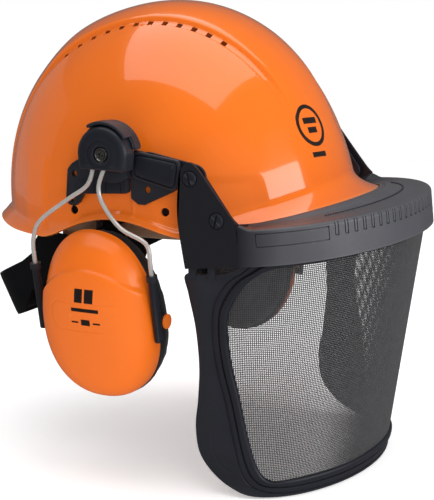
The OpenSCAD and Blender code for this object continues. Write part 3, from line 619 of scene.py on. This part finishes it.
# ---------------------------------------------------------------- visor
FRAME_HALF = [[90, -0.08, 90, -0.025], [60, -0.08, 60, -0.025], [34, -0.08, 36, -0.02], [12, -0.07, 20, -0.015],
              [-8, 0.0, 11, 0.01], [-26, 0.012, 3, 0.055], [-40, 0.016, -4, 0.12], [-37.5, 0.1, -8.5, 0.19],
              [-32, 0.25, -8.5, 0.29], [-29, 0.42, -5, 0.42], [-29.5, 0.57, 2, 0.58], [-31, 0.7, 7, 0.71],
              [-27, 0.83, 12, 0.82], [-13, 0.93, 17, 0.89], [6, 0.985, 24, 0.925], [28, 1, 34, 0.925],
              [58, 1, 60, 0.92], [90, 1, 90, 0.915]]


def visor_point(q, h, off):
    """Point on the visor's curved face: q is the plan angle in degrees, or mm behind it below 0 and past 180."""
    q, h = np.asarray(q, float), np.asarray(h, float)
    w, length, y = lerp(109.8, 99, h) + off, lerp(73.4, 57.5, h) + off, lerp(-72.5, -63, h)
    z = -20.3 - 155 * h + 0.09 * (-71.5 - y) * (1 - h)
    a = np.radians(np.clip(q, 0, 180))
    back = np.maximum(0, np.maximum(-q, q - 180))
    py = y - length * np.sin(a) ** 1.08 + back
    return np.stack([-w * np.cos(a), py, z + 0.07 * (1 - h) * (y - py)], -1)


# Section across the border: distance in mm from the inner edge, or from the outer edge on the OUTER_SIDE
# points, and height above the face
BORDER = [(0, -1.3), (0.15, -0.5), (0.7, 0), (11.6, 0), (11.2, -0.45), (10.6, -0.45), (10.2, 0), (7.2, 0),
          (6.6, -0.15), (6.3, -0.8), (5.6, -0.9), (5.2, -0.2), (4.9, 0.7), (4.3, 1.15), (2.2, 1.25), (1.0, 1.1),
          (0.35, 0.6), (0, -0.2), (0, -2.5), (0.5, -3.0), (0.7, -3.0), (0, -2.3)]
OUTER_SIDE = (0, 1, 2, 20, 21)


def make_visor_frame():
    half = smooth_path(FRAME_HALF, 9)
    other = half[-2:0:-1].copy()
    other[:, 0], other[:, 2] = 180 - other[:, 0], 180 - other[:, 2]
    rings = []
    for q0, h0, q1, h1 in np.concatenate([half, other]):
        width = np.linalg.norm(visor_point(q0, h0, 0) - visor_point(q1, h1, 0))
        shrink = min(1.0, width / 12.9)
        ring = []
        for n, (d, off) in enumerate(BORDER):
            t = d / width if n in OUTER_SIDE else 1 - d * shrink / width
            ring.append(visor_point(lerp(q0, q1, t), lerp(h0, h1, t), off))
        rings.append(ring)
    place(build("visor_border", *tube(rings, True), BLACK, 50), "visor", "black_plastic", "visor_frame")


def make_cheek_ribs():
    """A long low crescent rib on each cheek of the visor."""
    line = smooth_path([[-15.2, 0.599], [-18.6, 0.656], [-20.0, 0.719], [-18.5, 0.794], [-13.2, 0.859],
                        [-2.9, 0.899]], 10)
    section = ((-0.7, -0.4), (0.7, -0.4), (0.7, 0.1), (0.3, 0.4), (-0.3, 0.4), (-0.7, 0.1))
    rings = []
    for n, (q, h) in enumerate(line):
        grow = 0.15 + 0.85 * math.sin(math.pi * (n + 0.5) / len(line)) ** 0.5
        t = line[min(n + 1, len(line) - 1)] - line[max(n - 1, 0)]
        along = unit(visor_point(*(line[n] + t * 0.5), 0) - visor_point(*(line[n] - t * 0.5), 0))
        at = visor_point(q, h, 0)
        out = unit(visor_point(q, h, 1) - at)
        across = np.cross(along, out)
        rings.append([at + across * u * grow + out * v * grow for u, v in section])
    for side_name, side in SIDES:
        side_piece("cheek_rib", side_name, side, tube(rings), BLACK, "visor", "black_plastic", sharp=50)


def make_gauze():
    """Two crossed sets of four-sided wires that pass over and under each other."""
    pitch, radius, weave = 1.25, 0.32, 0.24
    fine = np.linspace(-14, 194, 4000)
    run = run_along(visor_point(fine, np.full_like(fine, 0.45), 0))
    q = np.interp(np.arange(0, run[-1], pitch), run, fine)
    h = np.arange(-0.05, 0.955, pitch / 155)
    edge_h = [-0.05, 0, 0.06, 0.13, 0.2, 0.3, 0.42, 0.5, 0.58, 0.66, 0.74, 0.82, 0.88, 0.92, 0.955]
    edge_q = [14, 4, -4, -8, -11, -11, -8, -3.5, 0, 3, 6.5, 10, 14, 20, 34]
    edge = np.interp(h, edge_h, edge_q)
    inside = (q[:, None] >= edge[None, :]) & (q[:, None] <= 180 - edge[None, :])
    qq, hh = np.meshgrid(q, h, indexing="ij")
    p = visor_point(qq, hh, -1.5)
    along_q, along_h = unit(np.gradient(p, axis=0)), unit(np.gradient(p, axis=1))
    out = unit(np.cross(along_h, along_q))
    sign = np.where((np.add.outer(np.arange(len(q)), np.arange(len(h))) % 2) == 0, 1.0, -1.0)[..., None]
    points, faces, start = [], [], 0
    for axis, across, lift in ((0, along_h, sign), (1, along_q, -sign)):
        centre = p + out * lift * weave
        ring = np.stack([centre + out * radius, centre + across * radius, centre - out * radius,
                         centre - across * radius], 2)
        points.append(ring[inside].reshape(-1, 3))
        ids = np.full(inside.shape, -1)
        ids[inside] = start + np.arange(inside.sum()) * 4
        start += inside.sum() * 4
        # wires run down the columns; an empty row at each end makes every run start and stop
        ids = np.pad(ids if axis == 0 else ids.T, ((1, 1), (0, 0)), constant_values=-1)
        here, after, before = ids[1:-1], ids[2:], ids[:-2]
        a, b = (x[(here >= 0) & (after >= 0)] for x in (here, after))
        for s in range(4):
            faces += np.stack([a + s, a + (s + 1) % 4, b + (s + 1) % 4, b + s], 1).tolist()
        first = here[(here >= 0) & (before < 0) & (after >= 0)]
        last = here[(here >= 0) & (after < 0) & (before >= 0)]
        faces += (first[:, None] + np.array([3, 2, 1, 0])).tolist() + (last[:, None] + np.arange(4)).tolist()
    place(raw_object("visor_gauze", np.concatenate(points), faces, GAUZE), "visor", "gauze", "visor_mesh")


# ---------------------------------------------------------------- ear cups
LEAN = math.radians(10.6)
CUP_AT = np.array([-103.3, 31.9, -59.8])


def leaned(p):
    """Cup coordinates, x inward, y back and z up, to the helmet's, on the right side."""
    p = np.asarray(p, float)
    c, s = math.cos(LEAN), math.sin(LEAN)
    return np.stack([p[..., 0] * c - p[..., 2] * s, p[..., 1], p[..., 0] * s + p[..., 2] * c], -1) + CUP_AT


def cup_outline(i, w, h):
    c, s = np.cos(i), np.sin(i)
    return w * spow(c, 0.92) * (1 - 0.06 * s), h * spow(s, 0.92)


def cup_point(i, t, inset=0.0, relief=False):
    """Cup surface: t from the rim at 0 to the crown at 1."""
    k = np.sin(t * math.pi / 2) ** 0.8
    g = np.cos(t * math.pi / 2) ** 0.8
    y, z = cup_outline(i, (42 - inset) * g, (57 - inset) * g)
    x = -2 - (29 - inset) * k
    z = z + 4.4 * ease((z - 8) / 46) * (0.4 + 0.6 * g)
    # a little fuller towards the front at the top
    y = y - 1.6 * ease((z - 4) / 30) * ease(-y / 20) * g
    p = np.stack([x + 0 * y, y, z], -1)
    if relief:
        arc = 42 - 0.0135 * (y + 3) ** 2
        open_part = ease((k - 0.10) / 0.35)
        d = -1.9 * ease((z - arc) / 3.4 + 0.5) * open_part
        # faint sunk outline about the marked field
        cy, cz, hw, hh = -9.0, 10.5, 33.0, 9.5
        dy, dz = np.abs(y - cy) - hw, np.abs(z - cz) - hh
        corner = (np.abs(y - cy) + np.abs(z - cz) - (hw + hh - 5.0)) / 1.4142
        box = np.maximum(np.maximum(dy, dz), corner)
        d = d - 0.3 * ease(1 - np.abs(box) / 0.8) * ease((k - 0.4) / 0.2)
        out = unit(p * np.array([1.0, 0.62, 0.34]) + np.array([-14.0, 0, 0]))
        p = p + out * d[..., None]
    return p


def make_cup(side_name, side):
    i = np.arange(260) / 260 * 2 * math.pi
    outer = cup_point(i[None, :], np.linspace(0, 1, 110, endpoint=False)[:, None], relief=True)
    inner = cup_point(i[None, :], np.linspace(0, 1, 20, endpoint=False)[:, None], 2.4)
    inner[0, :, 0] = -2
    points, faces = bowl(np.concatenate([inner[::-1], outer]), [-31.0, 0, 0], [-28.6, 0, 0])
    return side_piece("ear_cup", side_name, side, (leaned(points), faces), CUP, f"cup_{side_name}", "muff_satin",
                      f"cup_shell_{side_name}", sharp=45)


def make_cushion(side_name, side):
    """Ring cushion: crowned skin over foam, with a seam round its outside and soft gathers."""
    body = f"cup_{side_name}"
    i = np.arange(160) / 160 * 2 * math.pi
    loops = []
    gather = 0.22 * np.sin(i * 26) + 0.14 * np.sin(i * 41 + 1.3)
    for b in np.arange(28) / 28 * 2 * math.pi:
        c, s = math.cos(b), math.sin(b)
        inset = 5.75 - 5.75 * spow(c, 0.72)
        seam = -0.7 * math.exp(-((math.degrees(b) - 18) / 7) ** 2)
        crease = gather * (0.5 + 0.5 * c) * (0.35 + 0.65 * max(0, s))
        y, z = cup_outline(i, 41.4 - inset + seam + crease, 56.4 - inset + seam + crease)
        loops.append(np.stack([np.full_like(y, 8.0 + 6.4 * spow(s, 0.8)), y, z], -1))
    points, faces = tube(loops, True)
    side_piece("ear_cushion", side_name, side, (leaned(points), faces), SKIN, body, "cushion_skin",
                         f"cup_cushion_{side_name}", sharp=80)
    # foam liner with a domed, slightly uneven face
    i = np.arange(96) / 96 * 2 * math.pi
    rows = []
    for k, x in ((1.0, -9.2), (1.0, -3.2), (0.97, -2.6), (0.86, -2.35)):
        y, z = cup_outline(i, 34 * k, 49 * k)
        rows.append(np.stack([np.full_like(y, x), y, z], -1))
    for k in (0.7, 0.5, 0.3, 0.1):
        y, z = cup_outline(i, 34 * k, 49 * k)
        rows.append(np.stack([-2.35 - 0.35 * np.cos(y * 0.35) * np.cos(z * 0.3), y, z], -1))
    points, faces = tube(rows)
    side_piece("ear_foam", side_name, side, (leaned(points), faces), FOAM, body, "foam",
                         f"cup_foam_{side_name}", sharp=80)


# ---------------------------------------------------------------- headband leather, nape cradle, hangers
HEAD = (77.0, 98.0, 15.0)
NAPE_X, NAPE_LEN, NAPE_REAR, NAPE_SLOPE = 82.4, 90.0, 36.0, math.radians(27)


def head_point(a, off):
    a = np.radians(a)
    return np.array([(HEAD[0] + off) * math.cos(a), HEAD[2] + (HEAD[1] + off) * math.sin(a)])


def make_sweatband():
    """Leather folded round the headband's lower edge, with ends that hang down behind the temples."""
    end = np.array([[-79.2, 80], [-79.2, 75], [-79, 70], [-78, 64.5], [-75.4, 59.5], [-72.4, 54.5], [-71.5, 50],
                    [-71.9, 46]])
    front = np.array([head_point(a, 0) for a in np.linspace(163, 377, 120)])
    path = smooth_path(np.concatenate([end, front, end[::-1] * np.array([-1, 1])]), 2)
    t = unit(np.gradient(path, axis=0))
    out = np.stack([t[:, 1], -t[:, 0]], 1)
    rings = []
    for p, o in zip(path, out):
        y = p[1]
        low = -10.7 - 10.3 * ease((y - 26) / 24)
        top = 21.0 - 13 * ease((y - 50) / 14)
        fold = 1.8 * (1 - ease((y - 34) / 8))
        reach = low + lerp(9.6, 2.6, ease((y - 34) / 8))
        puff = 0.16 * math.sin(y * 0.5 + p[0] * 0.3)
        section = [(-0.35, top - 0.4), (-0.2, top - 0.1), (-0.35, top + 0.2), (-1.0, top + 0.3), (-1.6, top - 0.1),
                   (-1.9 + puff, top - 5), (-2.0 - puff, lerp(low, top, 0.5)), (-1.9, low + 3.5),
                   (-1.7, low + 1.2), (-1.1, low + 0.3), (-0.2, low), (fold, low), (fold + 0.8, low + 0.4),
                   (fold + 1.3, low + 1.2), (fold + 1.5, lerp(low, reach, 0.5)), (fold + 1.4, reach - 0.5),
                   (fold + 0.9, reach), (fold + 0.3, reach - 0.5), (fold + 0.1, lerp(low + 1.6, reach, 0.4)),
                   (fold - 0.1, low + 1.9), (-0.25, low + 1.8), (-0.35, low + 3), (-0.35, lerp(low, top, 0.6))]
        rings.append([[*(p + o * k), z] for k, z in section])
    leather = build("sweatband_leather", *tube(rings), LEATHER, 70)
    place(leather, "helmet", "tan_leather", "sweatband")


def nape_to_helmet(p):
    return tipped(p, NAPE_SLOPE, np.array([0, 40, -2]))


def nape_run(off):
    """Plan path of the nape band: right arm, round the back, left arm; with the distance along each arm."""
    arm = np.linspace(-8, NAPE_LEN, 50)
    a = np.radians(np.linspace(180, 0, 73)[1:-1])
    right = np.column_stack([np.full(50, -NAPE_X - off), arm, arm])
    back = np.column_stack([(NAPE_X + off) * np.cos(a), NAPE_LEN + (NAPE_REAR + off) * np.sin(a),
                            np.full(len(a), 200.0)])
    return np.concatenate([right, back, right[::-1] * np.array([-1, 1, 1])])


def make_nape():
    top_keys = ([-8, 26, 36, 46, 55, 61, 68, 78, 92, 200], [0, 0, 6, 12.5, 15, 12, 5, 3, 3, 3])
    low_keys = ([-8, 82, 92, 200], [-18, -18, -27, -29])
    # across the thickness from the inner side, and up the height
    section = ((0.15, 0.0), (0, 0.12), (0, 0.5), (0, 0.88), (0.15, 1.0), (0.25, 1.0), (0.75, 1.0), (0.85, 1.0),
               (1, 0.88), (1, 0.5), (1, 0.12), (0.85, 0.0), (0.75, 0.0), (0.25, 0.0))
    rings = []
    for p, q in zip(nape_run(0.0), nape_run(2.0)):
        top, low = np.interp(p[2], *top_keys), np.interp(p[2], *low_keys)
        rings.append([[*lerp(p[:2], q[:2], k), lerp(low, top, d)] for k, d in section])
    band = build("nape_cradle", *tube(nape_to_helmet(np.array(rings))), STRAP, 40)
    slots = []
    for side in (1, -1):
        outline = [(12 + 12.3 * s + 2.35 * math.cos(t), -9 + 2.35 * math.sin(t)) for s, lo in ((1, -90), (-1, 90))
                   for t in np.radians(np.linspace(lo, lo + 180, 10))]
        slots.append(tube([[nape_to_helmet([-x * side, y, z]) for y, z in outline] for x in (78, 90)]))
    cut(band, *join_solids(slots), sharp=40)
    place(band, "nape", "black_plastic", "nape_band")
    # padded lining inside the cradle, crowned and quilted
    rows = []
    for a in np.linspace(28, 152, 90):
        t = math.radians(a)
        ends = min(1.0, math.sin(math.pi * (a - 26) / 128) * 4)
        quilt = 0.35 * abs(math.sin(math.radians(a - 30) * 9))
        ring = []
        for b in np.arange(20) / 20 * 2 * math.pi:
            deep = 0.25 + (3.0 - quilt) * ends * (0.5 + 0.5 * spow(math.cos(b), 0.7))
            ring.append([(NAPE_X - deep) * math.cos(t), NAPE_LEN + (NAPE_REAR - deep) * math.sin(t),
                         -13 + 13.6 * spow(math.sin(b), 0.6)])
        rows.append(ring)
    pad = build("nape_lining", *tube(nape_to_helmet(np.array(rows))), STRAP, 70)
    place(pad, "nape", "cushion_skin", "nape_pad")


def make_hangers(shell):
    """Six clips that carry the headband and straps from inside the shell."""
    hit = prober(shell)
    solids = []
    for a in (30, 90, 150, 210, 270, 330):
        foot = head_point(a, 1.8) - np.array([0, HEAD[2]])
        along = np.array([*unit(foot), 0.0])
        across = np.array([-along[1], along[0], 0.0])
        up = np.array([0, 0, 1.0])
        reach = np.linalg.norm(foot)
        origin = np.array([0, HEAD[2], 0])
        hits = [hit(origin + up * level, along)[0] for level in (14, 18, 22)]
        wall = min(np.linalg.norm(at[:2] - origin[:2]) for at in hits if at is not None)

        def block(r0, r1, half, z0, z1, chamfer=0.5):
            centre = origin + along * (r0 + r1) / 2 + up * (z0 + z1) / 2
            return prism(centre, across, up, along, half, (z1 - z0) / 2, (r1 - r0) / 2, chamfer)

        solids += [block(reach, reach + 1.8, 12, 12, 30), block(reach + 1.7, wall - 2.6, 3, 16, 20),
                   block(wall - 2.8, wall - 0.1, 6, 14, 22, 1.5)]
        for half_at in (-11.2, 11.2):
            centre = origin + along * (reach - 1.3) + across * half_at + up * 26.9
            solids.append(prism(centre, across, up, along, 0.8, 3.1, 1.4, 0.3))
        solids.append(block(reach - 2.7, reach - 1.7, 12, 23.8, 30, 0.3))
    place(build("hangers", *join_solids(solids), BLACK, 30), "helmet", "black_plastic", "hanger_clips")


# ---------------------------------------------------------------- hardware on the sides
PIVOT = (19.6, 51.4)
COVER = [[6, 35.3], [6, 53.4], [-29.2, 48.6], [-29.9, 43], [-27.4, 27.6]]
CLIP = [[9.4, 20.6], [9.4, 50], [6, 53], [-26, 48.6], [-29.6, 46.4], [-30, 43], [-28.4, 31], [-22, 27], [-8, 20.4],
        [-1, 17], [4, 17]]
BRACKET = [[10.2, 24], [10.2, 52], [6, 59], [10, 66], [19.6, 69], [30, 67], [38, 58], [42, 48], [53, 41.6],
           [56.6, 37.6], [58.4, 16.6], [56, 13.2], [51.6, 12.6], [48, 15.2], [44.6, 21.4]]
THROUGH = (100, 128)     # span in x of a hole cut right through
EYE_R, PIN_R = 2.2, 2.5  # accessory eyes, and the muff's pivot pin


def through(y, z, r):
    return lathe(y, z, [(r, x) for x in THROUGH], 28)


def make_hardware(side_name, side):
    def piece(name, solid, body, replaced=None, holes=(), material=BLACK, slot="black_plastic"):
        side_piece(name, side_name, side, solid, material, body, slot,
                   replaced and f"{replaced}_{side_name}", holes)

    py, pz = PIVOT
    piece("clip_cap", slab(plate_outline(COVER, 6.6), [
        (0.3, 107.62), (0, 107.9), (0, 109.2), (0.25, 109.75), (0.8, 110.1), (1.5, 110.15), (1.75, 109.55),
        (2.2, 109.5), (2.5, 110.1), (3.2, 110.55), (4.4, 110.85), (6.2, 110.95)]), "helmet", "clip_cover")
    piece("visor_clip_plate", slab(plate_outline(CLIP, 1.8), [(0.3, 103.8), (0, 104.0), (0, 104.8), (0.4, 105.2)]),
          "helmet", "visor_clip", [through(-3.4, 27.3, EYE_R)])
    piece("clip_bridge", slab(plate_outline([[4.4, 38], [6, 38], [6, 50], [4.4, 50]], 0.4),
                              [(0, 104.9), (0, 107.9)]), "helmet")
    piece("hinge_pin", lathe(-6, 44, [(4, 104.0), (4, 107.8)], 40), "helmet")
    ribs = [box_solid((107.9, y, 26.6), (1.0, 0.9, 8.0)) for y in (15.5, 26.5, 35.5)]
    piece("bracket_plate", slab(plate_outline(BRACKET, 3.0),
                                [(0.3, 103.8), (0, 104.1), (0, 106.7), (0.35, 107.4), (1.0, 107.7)]),
          "helmet", "muff_bracket",
          [through(50.8, 34.6, EYE_R), through(53.2, 17.6, EYE_R), *ribs,
           box_solid((107.9, 25.5, 22.9), (0.8, 24, 0.6))])
    piece("click_stack", lathe(py, pz, [(18.0, 107.72), (19.6, 107.72), (20, 108.0), (20, 112.5), (19.6, 112.9)], 72),
          "helmet", "click_disc",
          [through(py, pz, PIN_R + 0.05), box_solid((110, py - 22, pz - 12.5), (12, 20, 31))])
    for n, x in enumerate((107.9, 110.4, 112.9)):
        piece(f"click_ring_{n}", arc_band(py, pz, 14, 169, 19.0, 20.9, x, x + 2.2, 0.3, 44), "helmet")
    piece("click_core", arc_band(py, pz, 16, 167, 18.9, 20.2, 107.8, 116.4, 0.2, 44), "helmet")
    piece("pivot_hood", arc_band(py, pz, 58, 146, 19.4, 21.6, 115.6, 123.9), "helmet")

    def housing_outline(d):
        arc = [(py + (18.3 - d) * math.cos(t), pz + (18.3 - d) * math.sin(t))
               for t in np.radians(np.linspace(-4, 184, 56))]
        low, half = pz - 10.8 + d, 17.4 - d
        foot = round_corners([[py - half - 0.4, pz - 4], [py - half, low], [py + half, low],
                              [py + half + 0.4, pz - 4]], [0.1, 3.2, 3.2, 0.1], 7)
        return np.array(arc + foot[7:-7].tolist())

    wire_bore = prism(np.array([-119.5, 23.5, 45.0]), *np.eye(3)[[0, 2, 1]], 1.62, 1.62, 12.3, 0.95)
    piece("pivot_housing_body", slab(housing_outline, [
        (0.5, 113.2), (0, 113.7), (0, 122.3), (0.3, 123.6), (1.0, 124.7), (2.1, 125.4), (3.4, 125.75),
        (4.6, 125.8)]), f"housing_{side_name}", "pivot_housing",
        [lathe(py, pz, [(9.6, 125.45), (9.6, 128)]),
         lathe(py, pz, [(5.5, 123.2), (5.5, 125.0), (6.6, 125.5), (6.6, 128)]),
         lathe(py, pz, [(PIN_R + 0.05, 110), (PIN_R + 0.05, 124)], 28),
         box_solid((120.7, 23.5, pz - 8.2), (7.0, 17.8, 9.6)), wire_bore])
    piece("pivot_bolt", lathe(py, pz, [(3.6, 123.25), (4.6, 123.3), (4.6, 124.9), (4.4, 125.2), (3.9, 125.3),
                                       (3.4, 124.7), (3.0, 124.6), (2.7, 125.0), (2.0, 125.1)]),
          "helmet", "pivot_screw", [box_solid((125.2, py, pz), (1.5, 0.9, 4.2), a) for a in (20, 110)],
          SCREW, "screw_steel")
    piece("pivot_shank", lathe(py, pz, [(PIN_R, 108.0), (PIN_R, 123.6)], 28), "helmet", None, (), SCREW,
          "screw_steel")


def make_hole_shade_plugs():
    """Near-black blind plugs in the shell's rear accessory holes: painted shade, standing in for the shade inside the
    open holes.
    """
    profile = [(2.2, 98.4), (3.7, 98.4), (3.7, 99.9), (2.88, 100.1), (2.88, 102.7), (2.3, 102.7), (2.1, 101.4),
               (0.5, 101.4)]
    for side_name, side in SIDES:
        # painted shade: each plug is the darkest soft black so the hole reads as dark as the shade inside it
        side_piece("hole_shade_plug", side_name, side, lathe(*REAR_HOLE, profile, 32), STRAP, "helmet", "black_plastic")


def make_guard_screws():
    profile = [(1.95, 105.6), (1.95, 111.0), (4.7, 111.2), (4.7, 113.75), (4.45, 114.15), (3.8, 114.4),
               (2.4, 114.55), (0.8, 114.6)]
    for side_name, side in SIDES:
        for n, (at, turn) in enumerate(zip(GUARD_SCREWS, (-12, 14))):
            side_piece(f"guard_screw_{n}", side_name, side, lathe(*at, profile, 44), BLACK, "visor",
                       "black_plastic", "guard_screws", [box_solid((114.5, *at), (1.6, 1.15, 8.2), turn)])


# ---------------------------------------------------------------- marks
def mark(name, grids, centre, out, target, body):
    """Thin raised marks laid on a surface: each grid is rows x cols of (right, up) positions in mm about the
    centre, with whether it closes on itself along its columns."""
    centre, out = np.array(centre, float), unit(np.array(out, float))
    right = unit(np.cross([0.0, 0.0, 1.0], out))
    rise = np.cross(out, right)
    lift, sunk, start = 0.16, 0.5, 25
    hit = prober(target)
    solids = []
    for grid, closed in grids:
        rows, cols = grid.shape[:2]
        top, low = [], []
        for u, v in grid.reshape(-1, 2):
            at, normal = hit(centre + right * u + rise * v + out * start, -out)
            top.append(at + normal * lift)
            low.append(at - normal * sunk)
        n = rows * cols
        faces = grid_faces(rows, cols, around=closed)
        faces += [[n + v for v in f[::-1]] for f in faces]
        if closed:
            rim = [(r * cols + j, r * cols + (j + 1) % cols) for r in (0, rows - 1) for j in range(cols)]
        else:
            rim = [(r * cols + j, r * cols + j + 1) for r in (0, rows - 1) for j in range(cols - 1)]
            rim += [(r * cols + j, (r + 1) * cols + j) for j in (0, cols - 1) for r in range(rows - 1)]
        faces += [[a, b, n + b, n + a] for a, b in rim]
        solids.append((top + low, faces))
    place(build(name, *join_solids(solids), PRINT, 50), body, "black_plastic")


def bar_grid(x0, x1, y0, y1, slant=0.0):
    u, v = np.meshgrid(np.linspace(x0, x1, 12), np.linspace(y0, y1, 4))
    return np.stack([u + slant * v, v], -1), False


def ring_grid(r0, r1):
    a = np.arange(72) * 2 * math.pi / 72
    return np.array([[(r * math.cos(t), r * math.sin(t)) for t in a] for r in np.linspace(r0, r1, 3)]), True


def make_marks(shell, cups):
    mark("shell_badge", [ring_grid(12.0, 14.8), bar_grid(-7.6, 7.6, 1.2, 5.4), bar_grid(-5.0, 5.0, -5.4, -1.4),
                         bar_grid(-7.5, 7.5, -22.0, -18.6)], (-17.8, -85, 66), (-0.22, -0.86, 0.46), shell, "helmet")
    bars = [bar_grid(-6.8, -1.0, -4.6, 4.6, 0.1), bar_grid(0.6, 6.8, -4.6, 4.6, 0.1),
            bar_grid(-10, 10, -10.6, -8.3), bar_grid(-10.5, -5.5, -18.2, -17.2), bar_grid(-3.2, 3.2, -19.4, -15.6),
            bar_grid(5.5, 10.5, -18.2, -17.2)]
    for (side_name, side), cup in zip(SIDES, cups):
        mark(f"cup_marks_{side_name}", bars, (side * -129, 27.9, -41.5), (side * -0.98, 0, 0.18), cup,
             f"cup_{side_name}")


# ---------------------------------------------------------------- make everything
shell = make_shell()
make_guard()
make_guard_screws()
make_visor_frame()
make_cheek_ribs()
make_gauze()
cups = []
for side_name, side in SIDES:
    cups.append(make_cup(side_name, side))
    make_cushion(side_name, side)
    make_hardware(side_name, side)
make_marks(shell, cups)
make_hole_shade_plugs()
make_sweatband()
make_nape()
make_hangers(shell)

# CAD nodes that keep their shape; the wires are round already and stay unsoftened
for node in ("headband", "nape_studs", "frame_lugs", "crown_stitch_pad"):
    dress(node, BLACK)
for node in ("crown_strap_low", "crown_strap_mid", "crown_strap_top"):
    dress(node, WEBBING)
for side_name, _ in SIDES:
    for part in ("visor_arm", "sleeve_front", "sleeve_rear", "cup_plate"):
        dress(f"{part}_{side_name}", BLACK)
    for part in ("wire_front", "wire_rear", "wire_bar"):
        dress(f"{part}_{side_name}", WIRE, 0)
    dress(f"cup_pins_{side_name}", CUP)


# ---------------------------------------------------------------- stage, lights, camera
paint = bpy.data.materials.new("floor_paint")
paint.use_nodes = True
for key, value in (("Base Color", (0.9, 0.9, 0.9, 1)), ("Roughness", 0.8), ("Specular IOR Level", 0.1),
                   ("Emission Color", (1, 1, 1, 1)), ("Emission Strength", 0.4)):
    paint.node_tree.nodes["Principled BSDF"].inputs[key].default_value = value
floor_z = (CAD_BOX[0].z - 0.0004) / MM
floor = build("floor", np.array([[1350 * math.cos(t), 1350 * math.sin(t), floor_z]
                                 for t in np.arange(96) * math.pi / 48]), [list(range(96))], paint)
floor.visible_glossy = False


def softbox(name, at, aim, width, height, power):
    data = bpy.data.lights.new(name, "AREA")
    data.shape = "RECTANGLE"
    data.size, data.size_y, data.energy = width, height, power
    o = bpy.data.objects.new(name, data)
    o.location = at
    o.rotation_euler = (Vector(aim) - Vector(at)).to_track_quat("-Z", "Y").to_euler()
    bpy.context.scene.collection.objects.link(o)
    return o


softbox("top", (0, 0, 1.4), (0, 0, 0), 1.8, 1.8, 19)
front = softbox("front", (0.10, -1.35, 0.60), (0, -0.1, 0.05), 0.72, 0.46, 6.5)
front.visible_glossy = False
window = softbox("window", (-0.02, -1.62, 0.31), (0, -0.1, 0.05), 1.2, 0.55, 10.0)
window.visible_diffuse = False
softbox("rear", (0.05, 1.5, 0.25), (0, 0, 0), 1.3, 1.0, 0.6)
fill = softbox("fill", (-1.15, -1.3, 0.5), (0, 0, 0), 1.2, 1.2, 13.5)
fill.visible_glossy = False

# the backdrop is white to the camera, and lights the set as a dimmer room
world = bpy.data.worlds.new("studio")
world.use_nodes = True
tree = world.node_tree
white = (1, 1, 1, 1)
room, dim, paper = (add_node(tree, "Background", {"Color": white, "Strength": k}).outputs["Background"]
                    for k in (0.34, 0.14, 1.0))
ray = add_node(tree, "LightPath", {}).outputs
shiny = add_node(tree, "MixShader", {"Fac": ray["Is Glossy Ray"], 1: room, 2: dim}).outputs["Shader"]
blend = add_node(tree, "MixShader", {"Fac": ray["Is Camera Ray"], 1: shiny, 2: paper}).outputs["Shader"]
tree.links.new(blend, tree.nodes["World Output"].inputs["Surface"])
bpy.context.scene.world = world
bpy.context.scene.view_settings.view_transform = "Standard"
bpy.context.scene.view_settings.look = "None"

camera = bpy.data.objects.new("camera", bpy.data.cameras.new("camera"))
camera.data.lens = 115.19
camera.data.sensor_width = 36
camera.data.clip_start, camera.data.clip_end = 0.01, 20
camera.matrix_world = Matrix(((0.460112, 0.18928, -0.86745, -0.991191),
                              (-0.887826, 0.089392, -0.451413, -0.5148),
                              (-0.0079, 0.977846, 0.209178, 0.205718), (0, 0, 0, 1)))
bpy.context.scene.collection.objects.link(camera)
bpy.context.scene.camera = camera

bpy.context.view_layer.update()
